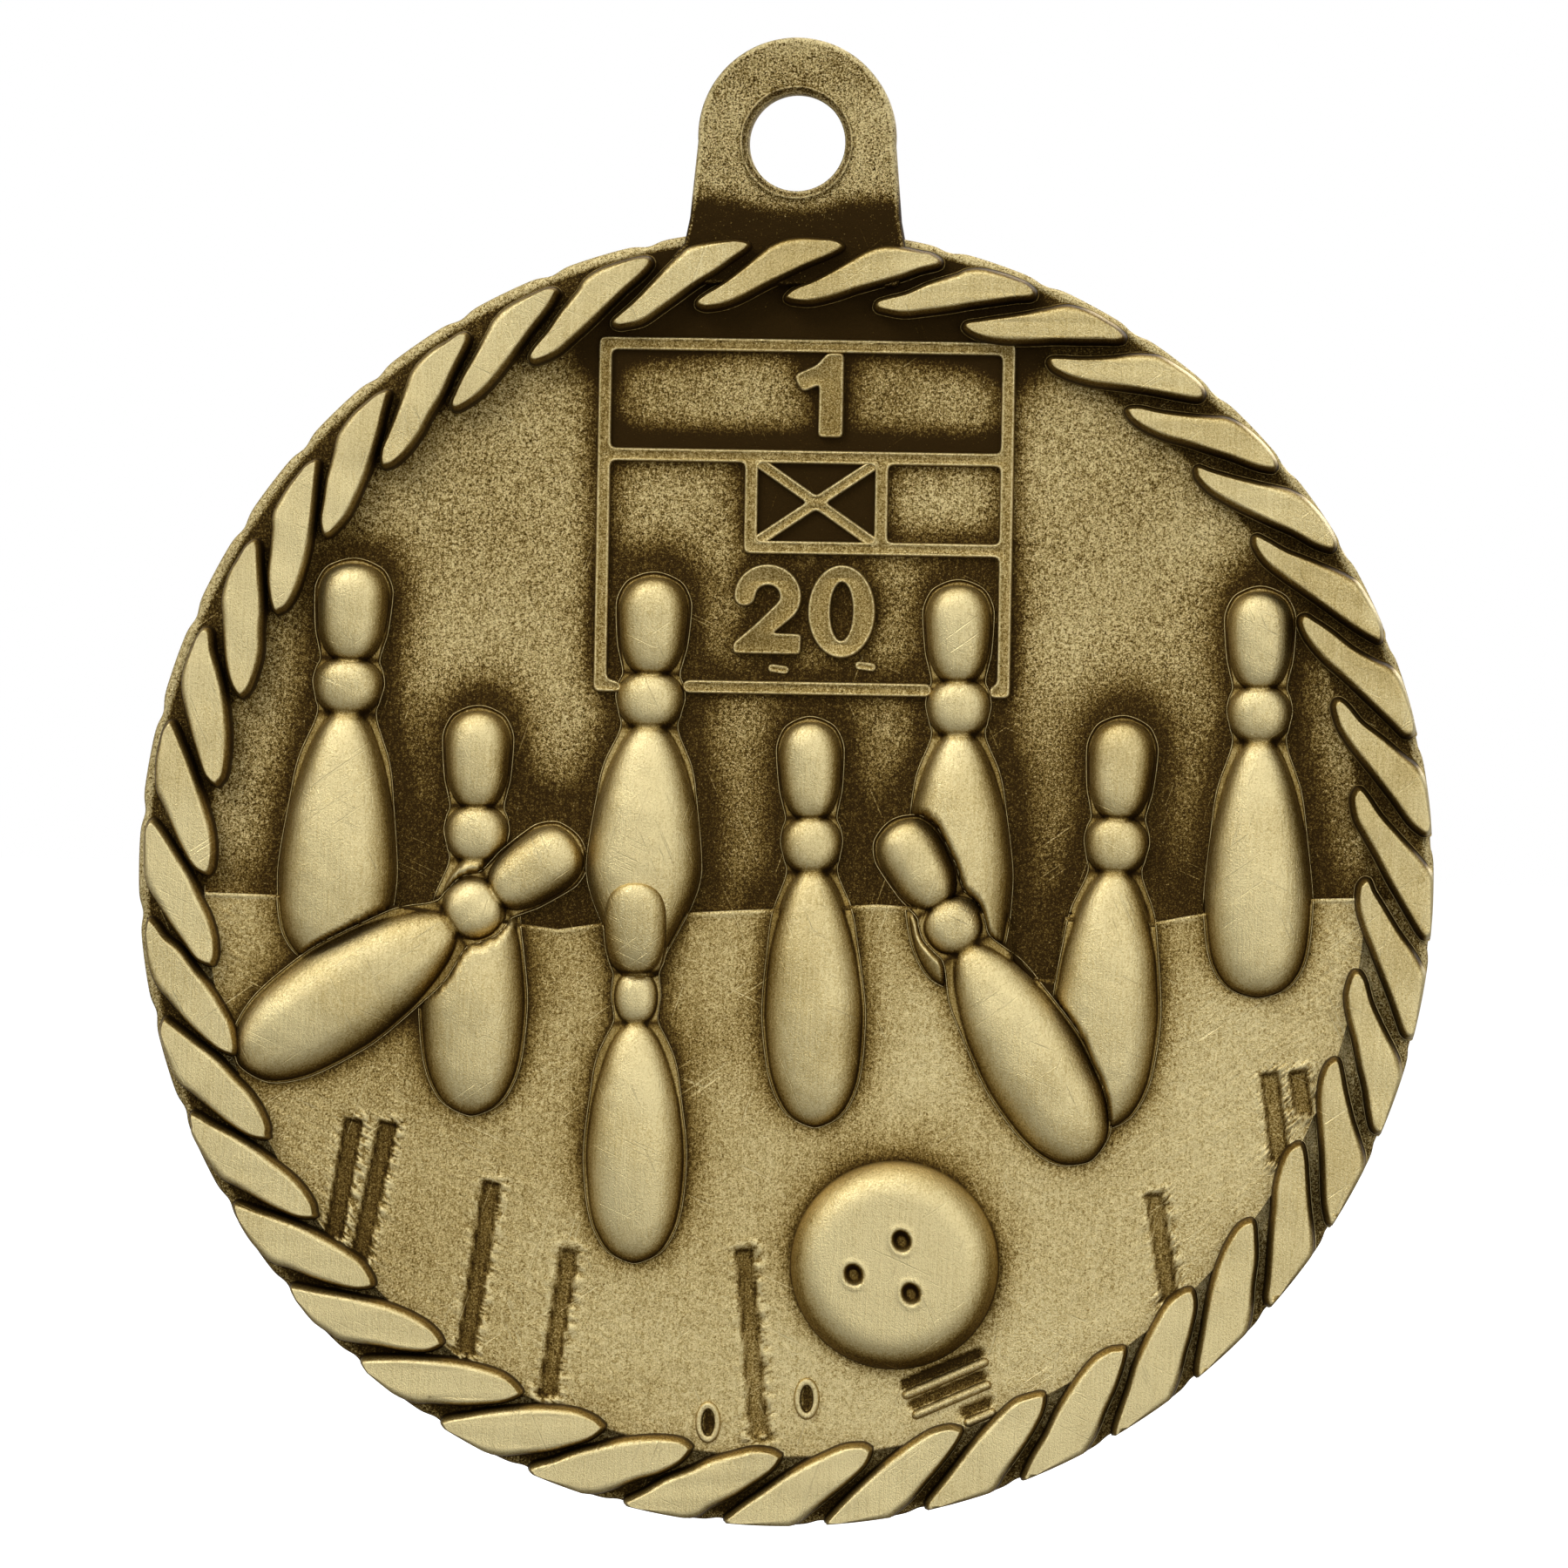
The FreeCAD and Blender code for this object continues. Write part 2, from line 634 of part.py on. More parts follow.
for item in doc.Objects:
    if "Invalid" in item.State or "Error" in item.State:
        raise RuntimeError(f"{item.Label} failed: {item.State}")
for piece in pieces:
    if piece.Shape.isNull() or not piece.Shape.isValid():
        raise RuntimeError(f"{piece.Label} has no valid shape")
for piece in pieces:
    piece.Shape.exportStep(f"parts/{piece.Label}.step")
print(len(pieces), "pieces written")
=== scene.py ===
"""The looks of a cast bowling medal: every relief piece as a dense mesh, in antique gold with dark patina.

Shapes are worked out in millimetres on the face of the medal: x to the right and z up from the disc's
centre, and depth towards the viewer from the plane where the frame's Y is 0.
"""

import json
import math
from collections import namedtuple

import bmesh
import bpy
import numpy as np
from mathutils import Matrix, Vector
from mathutils.bvhtree import BVHTree
from mathutils.geometry import tessellate_polygon


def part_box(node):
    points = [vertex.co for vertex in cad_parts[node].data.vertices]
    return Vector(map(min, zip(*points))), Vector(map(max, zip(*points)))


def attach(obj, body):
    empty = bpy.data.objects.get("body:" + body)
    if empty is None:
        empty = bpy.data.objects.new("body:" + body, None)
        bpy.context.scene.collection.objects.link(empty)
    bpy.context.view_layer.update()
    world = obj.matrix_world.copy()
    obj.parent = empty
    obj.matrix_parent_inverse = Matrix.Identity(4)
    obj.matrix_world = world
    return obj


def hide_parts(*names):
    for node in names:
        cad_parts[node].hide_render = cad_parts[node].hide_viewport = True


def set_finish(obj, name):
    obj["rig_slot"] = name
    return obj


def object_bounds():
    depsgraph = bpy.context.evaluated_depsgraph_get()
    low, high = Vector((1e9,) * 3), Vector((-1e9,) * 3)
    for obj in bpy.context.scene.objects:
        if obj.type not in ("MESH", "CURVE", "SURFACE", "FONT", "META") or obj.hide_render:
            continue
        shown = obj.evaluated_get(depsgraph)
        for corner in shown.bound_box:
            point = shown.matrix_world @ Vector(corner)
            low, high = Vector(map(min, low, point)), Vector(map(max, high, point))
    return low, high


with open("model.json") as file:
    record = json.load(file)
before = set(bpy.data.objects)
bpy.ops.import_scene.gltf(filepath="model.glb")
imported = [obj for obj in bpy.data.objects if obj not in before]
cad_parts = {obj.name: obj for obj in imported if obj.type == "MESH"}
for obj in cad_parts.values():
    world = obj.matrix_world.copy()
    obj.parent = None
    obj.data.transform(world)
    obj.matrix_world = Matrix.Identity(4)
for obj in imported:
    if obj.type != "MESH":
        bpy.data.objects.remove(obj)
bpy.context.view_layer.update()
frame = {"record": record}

MM = 0.001


def front_level(node):
    """How far a CAD node reaches towards the viewer, in millimetres."""
    return -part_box(node)[0][1] / MM


# ---------------- levels and places, from the frame
disc_low, disc_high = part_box("medal_disc")
DISC_X = (disc_low[0] + disc_high[0]) / 2 / MM
DISC_Z = (disc_low[2] + disc_high[2]) / 2 / MM
DISC_RADIUS = (disc_high[0] - disc_low[0]) / 2 / MM
BACK = -disc_high[1] / MM
FIELD = front_level("medal_disc")
LANE = front_level("lane_floor")
ROPE_CREST = front_level("rope_strand_01")
BALL_CREST = front_level("bowling_ball")
BOARD_CREST = front_level("scoreboard_frame")
NUMERAL_CREST = front_level("numeral_1")
LUG_FACE = front_level("hanging_lug")
HOLE_Z = -DISC_Z
HOLE_RADIUS = frame["record"]["mounts"][0]["dims"]["r_mm"]
BURIED = 0.06  # how deep a piece's foot goes into what it stands on


# ---------------- curves
def smooth_step(value, low, high):
    share = np.clip((value - low) / (high - low), 0, 1)
    return share * share * (3 - 2 * share)


def hill(value, middle, wide):
    """A smooth bump: 1 where value is middle, and almost 0 at twice wide from it."""
    return np.exp(-(((value - middle) / wide) ** 2))


def smooth_loop(corners, steps):
    """A closed Catmull-Rom curve through corners, with steps points to a span."""
    here = np.array(corners, float)[:, None]
    before, after, later = (np.roll(here, turn, 0) for turn in (1, -1, -2))
    t = (np.arange(steps) / steps)[None, :, None]
    bend = 2 * before - 5 * here + 4 * after - later
    twist = 3 * here - before - 3 * after + later
    return (here + 0.5 * ((after - before) * t + bend * t**2 + twist * t**3)).reshape(-1, 2)


def straight_loop(corners, spacing, softness=0):
    """A closed polygon with a point about every spacing, its corners rounded off softness times."""
    points = []
    for start, end in zip(corners, corners[1:] + corners[:1]):
        start, end = np.array(start), np.array(end)
        count = max(1, round(math.dist(start, end) / spacing))
        points += [start + (end - start) * n / count for n in range(count)]
    loop = np.array(points)
    for _ in range(softness):
        loop = (np.roll(loop, 1, 0) + 2 * loop + np.roll(loop, -1, 0)) / 4
    return loop


def anticlockwise(loop):
    x, z = loop[:, 0], loop[:, 1]
    area = np.sum(x * np.roll(z, -1) - np.roll(x, -1) * z)
    return loop if area > 0 else loop[::-1]


def inset(loop, distance):
    """An anticlockwise loop moved inwards by distance, mitred at its corners."""
    edges = np.roll(loop, -1, 0) - loop
    edges /= np.maximum(np.linalg.norm(edges, axis=1, keepdims=True), 1e-9)
    after = np.column_stack([-edges[:, 1], edges[:, 0]])
    before = np.roll(after, 1, 0)
    mitre = (before + after) / np.maximum(1 + np.sum(before * after, axis=1, keepdims=True), 0.5)
    return loop + np.broadcast_to(distance, len(loop))[:, None] * mitre


def turned(points, degrees):
    """Points turned clockwise about the origin."""
    cosine, sine = math.cos(math.radians(degrees)), math.sin(math.radians(degrees))
    x, z = points[:, 0], points[:, 1]
    return np.column_stack([x * cosine + z * sine, z * cosine - x * sine])


def level(loop, depth):
    """The loop as a ring of points at one depth, or at a depth for each."""
    return np.column_stack([loop, np.broadcast_to(depth, len(loop))])


# ---------------- meshes
SLOTS = {row["node"]: row["material_slot"] for row in frame["record"]["subparts"]}
relief = []  # every piece of the medal: (object, kind), read again when the patina is laid


def write_values(mesh, name, values):
    """A number for every vertex of a mesh, which the material reads by name."""
    mesh.attributes.new(name, "FLOAT", "POINT").data.foreach_set("value", values.astype("f4"))


class Shell:
    """Points and faces gathered from rings and sheets, so that one piece can hold several solids.

    Every point has a tone: above 0 it holds more patina, and below 0 less."""

    def __init__(self):
        self.points, self.tones, self.faces, self.count = [], [], [], 0

    def add(self, points, tone):
        """Adds points with one tone, or a tone for each, and gives back their numbers."""
        self.points.append(points)
        self.tones.append(np.broadcast_to(np.asarray(tone, float), len(points)))
        self.count += len(points)
        return range(self.count - len(points), self.count)

    def band(self, outer, inner):
        """Quads between two closed rows of point numbers."""
        for i in range(len(outer)):
            j = (i + 1) % len(outer)
            self.faces.append((outer[i], outer[j], inner[j], inner[i]))

    def fill(self, edges, under=False):
        """Triangles between an outer ring and the rings of any openings, each edge its numbers and ring."""
        numbers = [number for row, _ in edges for number in row]
        points = np.concatenate([ring[:, :2] for _, ring in edges])
        outlines = [[Vector((x, z, 0)) for x, z, _ in ring] for _, ring in edges]
        for triangle in tessellate_polygon(outlines):
            a, b, c = (numbers[i] for i in triangle)
            (ax, az), (bx, bz) = points[[triangle[1], triangle[2]]] - points[triangle[0]]
            turn = ax * bz - az * bx
            self.faces.append((a, b, c) if (turn > 0) != under else (a, c, b))

    def rings(self, steps, close):
        """Anticlockwise rings of the same length with their tones, from the foot inwards. They end in
        caps or a filled top, join into a tube, or stay open, to be merged along a spine."""
        rows = [self.add(ring, tone) for ring, tone in steps]
        for outer, inner in zip(rows, rows[1:]):
            self.band(outer, inner)
        if close == "tube":
            self.band(rows[-1], rows[0])
        else:
            self.faces.append(tuple(reversed(rows[0])))
        if close == "caps":
            self.faces.append(tuple(rows[-1]))
        if close == "filled":
            self.fill([(rows[-1], steps[-1][0])])

    def sheet(self, points, columns, tone):
        """A grid of points, row by row from the bottom. Gives back its border's numbers, anticlockwise."""
        numbers = np.array(self.add(points, tone)).reshape(-1, columns)
        quads = np.stack([numbers[:-1, :-1], numbers[:-1, 1:], numbers[1:, 1:], numbers[1:, :-1]], axis=-1)
        self.faces += quads.reshape(-1, 4).tolist()
        sides = [numbers[0], numbers[1:, -1], numbers[-1, -2::-1], numbers[-2:0:-1, 0]]
        return np.concatenate(sides).tolist()

    def hem(self, border, steps):
        """Rings with their tones, hung one after another from a sheet's border, and the last one closed."""
        for ring, tone in steps:
            row = self.add(ring, tone)
            self.band(row, border)
            border = row
        self.faces.append(tuple(reversed(border)))

    def block(self, points, columns, tone, foot):
        """A sheet, the first of its shell, with straight sides down to depth foot."""
        border = self.sheet(points, columns, tone)
        self.hem(border, [(level(points[border, :2], foot), 0.3)])

    def piece(self, node, kind, merge=False):
        """Makes the mesh object that stands for a CAD node."""
        name = node + "_cast"
        mesh = bpy.data.meshes.new(name)
        x, z, depth = np.concatenate(self.points).T
        world = np.column_stack([x + DISC_X, -depth, z + DISC_Z]) * MM
        mesh.from_pydata(world.tolist(), [], self.faces)
        write_values(mesh, "tone", np.concatenate(self.tones))
        if merge:
            work = bmesh.new()
            work.from_mesh(mesh)
            bmesh.ops.remove_doubles(work, verts=work.verts, dist=1e-6)
            work.to_mesh(mesh)
            work.free()
        mesh.polygons.foreach_set("use_smooth", [True] * len(mesh.polygons))
        piece = bpy.data.objects.new(name, mesh)
        bpy.context.collection.objects.link(piece)
        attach(piece, "root")
        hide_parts(node)
        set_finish(piece, SLOTS[node])
        relief.append((piece, kind))


# ---------------- uneven hand-cut surfaces
random = np.random.default_rng(20)
WAVES = [(random.uniform(-1, 1, 2) * 1.1, random.uniform(0, 6.3)) for _ in range(14)]


def uneven(points, scale):
    """A gentle waviness between about -1 and 1, the same at the same place on every piece."""
    total = sum(np.sin(points[:, :2] @ wave * scale + phase) for wave, phase in WAVES)
    return total / math.sqrt(len(WAVES) * 2)


# ---------------- rope border
STRAND_COUNT = 40
STRAND_START = -0.65  # degrees clockwise from the top to the first strand's inner tip
STRAND_DIP = 5.45  # degrees from a strand's inner tip to the dip in the rim between outer ends
STRAND_ROOT, STRAND_REACH = 22.7, 2.5  # the inner tips' distance from the centre, and the way out from it
STRAND_LEDGE = 0.10
CREST_SHIFT = (0.15, -0.27)  # the strands' outer ends sit a little to the right of the rim, and low
LEFT_SHIFT = 0.32  # how far the strands at the left sit further to the right
RIM_ROOM = 0.02
# One strand of the rope: degrees clockwise from its inner tip, and distance from the disc's centre.
STRAND = [
    (0.0, 22.78), (0.25, 22.60), (1.0, 22.51), (2.6, 22.54), (4.6, 22.80), (6.6, 23.20), (8.6, 23.63),
    (10.6, 24.07), (12.4, 24.50), (13.5, 24.82), (13.8, 25.05), (13.2, 25.20), (12.0, 25.25), (10.3, 25.23),
    (8.7, 25.14), (7.6, 24.92), (6.6, 24.60), (4.6, 23.94), (2.6, 23.37), (1.0, 23.03),
]
# The same corners for the leaf-shaped strands of the lower left; those of the lower right are between.
LEAF_STRAND = [
    (0.0, 22.76), (0.2, 22.61), (1.0, 22.49), (2.6, 22.46), (4.6, 22.64), (6.6, 22.95), (8.6, 23.36),
    (10.6, 23.92), (12.2, 24.44), (13.3, 24.80), (13.7, 25.03), (13.0, 25.18), (12.0, 25.22), (10.3, 25.20),
    (8.7, 25.10), (7.5, 24.93), (6.3, 24.60), (4.4, 24.14), (2.6, 23.70), (0.9, 23.22),
]


def within_rim(ring, room=RIM_ROOM):
    """A ring drawn in to stay inside the disc's edge."""
    return ring * np.minimum(1, (DISC_RADIUS - room) / np.linalg.norm(ring, axis=1, keepdims=True))


def make_rope_strand(number):
    """A cushion with a flat worn top, steep outside and softly sloping inside, on a ledge with a lip."""
    turn = STRAND_START + (number - 1) * 360 / STRAND_COUNT
    leaf = 0.7 * smooth_step(turn, 100, 130) + 0.3 * smooth_step(turn, 165, 195)
    leaf *= 1 - smooth_step(turn, 290, 350)
    rightwards = LEFT_SHIFT * smooth_step(turn, 262, 295) * (1 - smooth_step(turn, 335, 358))
    corners = []
    for degrees, radius in np.array(STRAND) * (1 - leaf) + np.array(LEAF_STRAND) * leaf:
        angle = math.radians(degrees + turn + random.normal(0, 0.08))
        outwards = (radius - STRAND_ROOT) / STRAND_REACH
        radius += outwards * (CREST_SHIFT[0] * math.sin(angle) + CREST_SHIFT[1] * math.cos(angle))
        radius += random.normal(0, 0.015)
        corners.append((radius * math.sin(angle) + rightwards, radius * math.cos(angle)))
    loop = anticlockwise(smooth_loop(corners, 6))
    radial = loop / np.linalg.norm(loop, axis=1, keepdims=True)
    inward = np.sum((inset(loop, -0.1) - loop) * radial, axis=1) * -10
    soft = 1 + 0.5 * smooth_step(inward, -0.2, 0.7)
    loop = within_rim(loop, RIM_ROOM + 0.05)
    ledge = STRAND_LEDGE + 0.10 * soft * (1 - 0.4 * leaf)
    crest = ROPE_CREST - FIELD
    steps = []
    for distance, lift, tone in ((0, -BURIED, 0.5), (0, 0.09, 0.3), (0.03, 0.12, -0.6), (0.06, 0.08, 0.5)):
        steps.append((level(within_rim(inset(loop, distance - ledge)), FIELD + lift), tone))
    for distance, share in ((-0.14, 0.12), (-0.11, 0.45), (-0.07, 0.72), (-0.03, 0.88), (0.02, 0.96)):
        ring = within_rim(inset(loop, distance * soft))
        depth = FIELD + share * (crest + 0.02 * uneven(ring, 3.0))
        steps.append((level(ring, depth), 0.2 - 0.3 * share))
    middle = loop.mean(0)
    along = np.linalg.eigh(np.cov((loop - middle).T))[1][:, 1]
    run = (loop - middle) @ along
    reach = np.abs(run).max() - 0.5
    spine = middle + np.outer(np.clip(run, -reach, reach), along)
    for share in (0.14, 0.27):
        ring = loop + (spine - loop) * share
        steps.append((level(ring, FIELD + crest + 0.02 * uneven(ring, 3.0)), -0.08))
    shell = Shell()
    shell.rings(steps, "filled")
    shell.piece(f"rope_strand_{number:02d}", "rope")


# ---------------- pins
SPINE = (1.3, 14.65)  # from and to what height a pin's rounded top closes in on its middle line
DOME_STEPS = 27
# Up the right side of the ledge round a pin: half its width there, and the height above its foot.
PIN_LEDGE = [
    (0.30, 0.06), (1.16, 0.61), (1.68, 1.55), (1.98, 2.73), (2.15, 4.5), (2.13, 5.67), (1.90, 7.44),
    (1.66, 8.73), (1.10, 9.96), (1.18, 10.55), (1.31, 11.2), (1.22, 11.75), (1.09, 12.14), (1.20, 12.7),
    (1.33, 13.3), (1.42, 14.5), (1.38, 15.09), (1.09, 15.68), (0.66, 15.97), (0.20, 16.12),
]
BODY_TOP, BODY_WIDE, BODY_RISE = 10.15, 2.05, 1.30
COLLAR_MIDDLE, COLLAR_HALF, COLLAR_WIDE, COLLAR_RISE = 11.08, 1.14, 1.25, 0.86
HEAD_MIDDLE, HEAD_HALF, HEAD_WIDE, HEAD_RISE = 13.94, 1.95, 1.25, 0.98
CREASES = (10.04, 12.15)

Pin = namedtuple("Pin", "foot lean long wide in_front")
# By their real rack numbers: the foot, the lean clockwise from upright, the length and width against the
# master pin, and the pins that stand in front.
PINS = {
    1: Pin((-5.6, -15.25), -0.6, 0.94, 0.95, ()),
    2: Pin((-21.3, -7.75), 55.6, 1.0, 1.04, (8,)),
    3: Pin((12.2, -10.9), -31.3, 0.96, 1.0, ()),
    4: Pin((-12.1, -9.6), 0.0, 1.0, 1.0, (2,)),
    5: Pin((1.4, -9.8), -1.8, 1.0, 0.95, ()),
    6: Pin((12.5, -9.7), 2.5, 1.01, 1.0, (3,)),
    7: Pin((-17.7, -3.9), 2.4, 1.0, 1.1, (2,)),
    8: Pin((-5.6, -4.25), 1.2, 1.0, 1.06, ()),
    9: Pin((6.9, -4.35), -1.0, 1.0, 1.0, (3,)),
    10: Pin((18.6, -4.4), -0.6, 1.0, 1.0, ()),
}
# What single pins have: a belly that hangs lower or higher than the others' 0.5, a slim collar, a foot that
# runs out narrow behind another pin's head, a thin ring below the collar, and a head lying on a belly.
LOW_BELLY = {2: 0.2, 7: 1.3, 10: 1.3}
SLIM_COLLAR = {1: 0.8}
FOOT_TAPER = {8: 0.56}
THIN_RING = {4: (9.78, 0.30, 0.78)}
RESTS_ON = {1: 8}

pin_corners = PIN_LEDGE + [(-half, tall) for half, tall in PIN_LEDGE[::-1]]
PIN_OUTLINE = anticlockwise(smooth_loop(pin_corners, 8))
right_side = smooth_loop(pin_corners, 12)[: 12 * (len(PIN_LEDGE) - 1) + 1]
RISING_SIDE = right_side[np.argsort(right_side[:, 1], kind="stable")]


def ledge_width(tall):
    """Half the width of the ledge at any height."""
    return np.interp(tall, RISING_SIDE[:, 1], np.maximum(RISING_SIDE[:, 0], 0), left=0, right=0)


def lobe(tall, middle, half, wide, fullness, skew):
    """Half the width of an egg-shaped lobe, wider towards its top by skew."""
    share = np.clip((tall - middle) / half, -1, 1)
    return wide * (1 - np.abs(share) ** fullness) ** 0.45 * (1 + skew * share)


def body_width(tall):
    """Half the width of the belly, inside its ledge and blunt at the top."""
    inside = np.maximum(ledge_width(tall) - 0.06, 0)
    return np.minimum(inside, 1.35 * np.clip((BODY_TOP - tall) / 1.3, 0, None) ** 0.4)


def dome(across, half_width, widest, rise):
    """The rounded section of a lobe."""
    inside = half_width > 1e-6
    share = np.where(inside, np.minimum(np.abs(across) / np.where(inside, half_width, 1), 1), 1)
    crown = rise * np.clip(half_width / widest, 0, 1.2) ** 0.55
    return crown * (1 - share**2.8) ** 0.52


def pin_height(across, tall):
    """How far the master pin stands out of the field."""
    collar_width = lobe(tall, COLLAR_MIDDLE, COLLAR_HALF, COLLAR_WIDE, 2.25, 0.03)
    head_width = lobe(tall, HEAD_MIDDLE, HEAD_HALF, HEAD_WIDE, 3.0, 0.11)
    body = dome(across, body_width(tall), BODY_WIDE, BODY_RISE)
    collar = dome(across, collar_width, COLLAR_WIDE, COLLAR_RISE)
    return np.maximum.reduce([body, collar, dome(across, head_width, HEAD_WIDE, HEAD_RISE)])


def from_pin(points, number):
    """Points across and up the master pin, where one pin has them on the face."""
    foot, lean, long, wide, _ = PINS[number]
    return turned(points * (wide, long), lean) + foot


def to_pin(points, number):
    """Points of the face seen from one pin: across it and up it, in the master pin's own size."""
    foot, lean, long, wide, _ = PINS[number]
    own = turned(points[:, :2] - foot, -lean)
    return own[:, 0] / wide, own[:, 1] / long


def distance_outside(points, number):
    """How far points are outside a pin's ledge, below 0 inside it."""
    outline = from_pin(PIN_OUTLINE, number)
    away = np.min(np.linalg.norm(points[:, None, :2] - outline[None], axis=2), axis=1)
    across, tall = to_pin(points, number)
    return np.where(np.abs(across) < ledge_width(tall), -away, away)


HORIZON = [
    (-22.9, -1.0), (-17.5, -1.1), (-8.8, -2.2), (-4.5, -1.5), (3.7, -1.0), (8.8, -1.25), (9.1, -3.8),
    (10.7, -3.8), (11.0, -1.35), (14.5, -1.5), (19.5, -0.5), (22.9, -0.4),
]


def horizon(x):
    """The height of the lane's far edge at places across the face."""
    return np.interp(x, *np.array(HORIZON).T)


def ground(points):
    """The level that a piece stands on: the lane below its far edge, the field above it."""
    return FIELD + (LANE - FIELD) * smooth_step(horizon(points[:, 0]) - points[:, 1], -0.04, 0.08)


def shaped(points, number):
    """Points of the master pin in the pin's own shape: its foot or collar narrowed, its belly hung low."""
    across, tall = points[:, 0], points[:, 1]
    narrow = FOOT_TAPER.get(number, 1)
    share = narrow + (1 - narrow) * smooth_step(tall, 0.5, 5.0)
    beside_collar = np.exp(-(((tall - COLLAR_MIDDLE) / COLLAR_HALF) ** 4))
    share = share * (1 - (1 - SLIM_COLLAR.get(number, 1)) * beside_collar)
    sag = LOW_BELLY.get(number, 0.5) * np.sin(math.pi * np.clip(tall / BODY_TOP, 0, 1))
    return np.column_stack([across * share, tall - sag])


def pin_surface(loop, placed, number):
    """The level of a pin's rounded top along a loop of it, or a head's just above the belly under it."""
    rise = pin_height(loop[:, 0], loop[:, 1])
    if number in THIN_RING:
        middle, half, wide = THIN_RING[number]
        ring_width = lobe(loop[:, 1], middle, half, wide, 2.2, 0)
        rise = np.maximum(rise, dome(loop[:, 0], ring_width, wide, 0.75))
    dents = 0.018 * uneven(placed, 2.0) + 0.007 * uneven(placed, 7.0)
    depth = FIELD + rise * PINS[number].wide + dents
    if number in RESTS_ON:
        under = RESTS_ON[number]
        belly = FIELD + pin_height(*to_pin(placed, under)) * PINS[under].wide
        head = np.clip(rise / HEAD_RISE, 0, 1) * (loop[:, 1] > HEAD_MIDDLE - HEAD_HALF)
        depth = np.maximum(depth, belly + 0.42 * head - 0.08)
    return depth


def make_pin(number):
    """A turned pin flattened into relief: body, collar and head between creases, on a lipped ledge."""
    inner = inset(PIN_OUTLINE, 0.06 + 0.07 * smooth_step(PIN_OUTLINE[:, 1], 11.7, 13.2))
    spine = np.column_stack([np.zeros(len(inner)), np.clip(inner[:, 1], *SPINE)])
    loops = [
        (PIN_OUTLINE, -BURIED, 0.5), (PIN_OUTLINE, 0.07, 0.35), (inset(PIN_OUTLINE, 0.025), 0.10, -0.5),
        (inset(PIN_OUTLINE, 0.05), 0.05, 0.3),
    ]
    ledge_loops = len(loops)
    for share in np.linspace(0, 1, DOME_STEPS) ** 1.35:
        loops.append((inner + (spine - inner) * share, 0.04, 0.3 * (share == 0)))
    steps = []
    for index, (loop, lift, tone) in enumerate(loops):
        placed = from_pin(shaped(loop, number), number)
        depth = ground(placed) + lift
        if index >= ledge_loops:
            depth = np.maximum(depth, pin_surface(loop, placed, number))
            tone = tone + 0.45 * sum(hill(loop[:, 1], tall, 0.10) for tall in CREASES)
        for other in PINS[number].in_front:
            away = distance_outside(placed, other)
            clear = smooth_step(away, -0.08, 0.15)
            low = ground(placed) - 0.1
            depth = np.where(away < -0.12, FIELD - 0.2, depth * clear + low * (1 - clear))
        steps.append((level(placed, depth), tone))
    foot, ledge = steps[0][0], steps[1][0]
    foot[:, 2] = np.minimum(foot[:, 2], ledge[:, 2] - 0.05)
    shell = Shell()
    shell.rings(steps, "open")
    shell.piece(f"pin_{number:02d}", "pin", merge=True)


# ---------------- flat raised work: bars and numerals
def plate(shell, outline, crest, openings=()):
    """A flat shape raised from the field, with a fine bead round its edges and a slightly sunken top."""
    rise = crest - FIELD
    steps = [
        (-0.05, -BURIED, 0.6), (-0.03, rise * 0.35, 0.35), (0.0, rise * 0.88, -0.2), (0.04, rise, -0.3),
        (0.075, rise - 0.01, -0.1), (0.12, rise - 0.04, 0.08),
    ]
    feet, tops = [], []
    for way, loop in [(1, outline)] + [(-1, opening) for opening in openings]:
        loop = anticlockwise(loop)
        rows = []
        for distance, lift, tone in steps:
            ring = level(inset(loop, way * distance), FIELD + lift)
            ring[:, 2] += 0.008 * uneven(ring, 9.0)
            rows.append((shell.add(ring, tone), ring))
        for (outer, _), (inner, _) in zip(rows, rows[1:]):
            shell.band(*((outer, inner) if way > 0 else (inner, outer)))
        feet.append(rows[0])
        tops.append(rows[-1])
    shell.fill(tops)
    shell.fill(feet, under=True)


def bar_outline(start, end, half_width):
    """A straight bar with rounded ends."""
    start, end = np.array(start, float), np.array(end, float)
    along = (end - start) / np.linalg.norm(end - start)
    across = np.array((along[1], -along[0]))
    turns = np.linspace(-math.pi / 2, math.pi / 2, 7)
    cap = [along * math.cos(t) + across * math.sin(-t) for t in turns]
    far = [tuple(end + half_width * step) for step in cap]
    near = [tuple(start - half_width * step) for step in cap]
    return straight_loop(far + near, 0.25)


BOARD_LEFT, BOARD_TOP = -7.35, 20.8
BOARD_WIDE, BOARD_TALL = 15.8, 13.4
LINE_WIDE = 0.48
TITLE_TALL, MARK_TALL = 4.35, 3.55
MARK_LEFT, MARK_WIDE = 5.8, 5.1
FOOT_STUB = 0.85  # how far the foot line reaches in at the left, before a pin's head breaks it
FOOT_LINE = (3.5, 12.75)  # where the rest of the foot line starts and ends, from the board's left
FOOT_SPUR = 0.28  # how far it reaches in again at the board's right


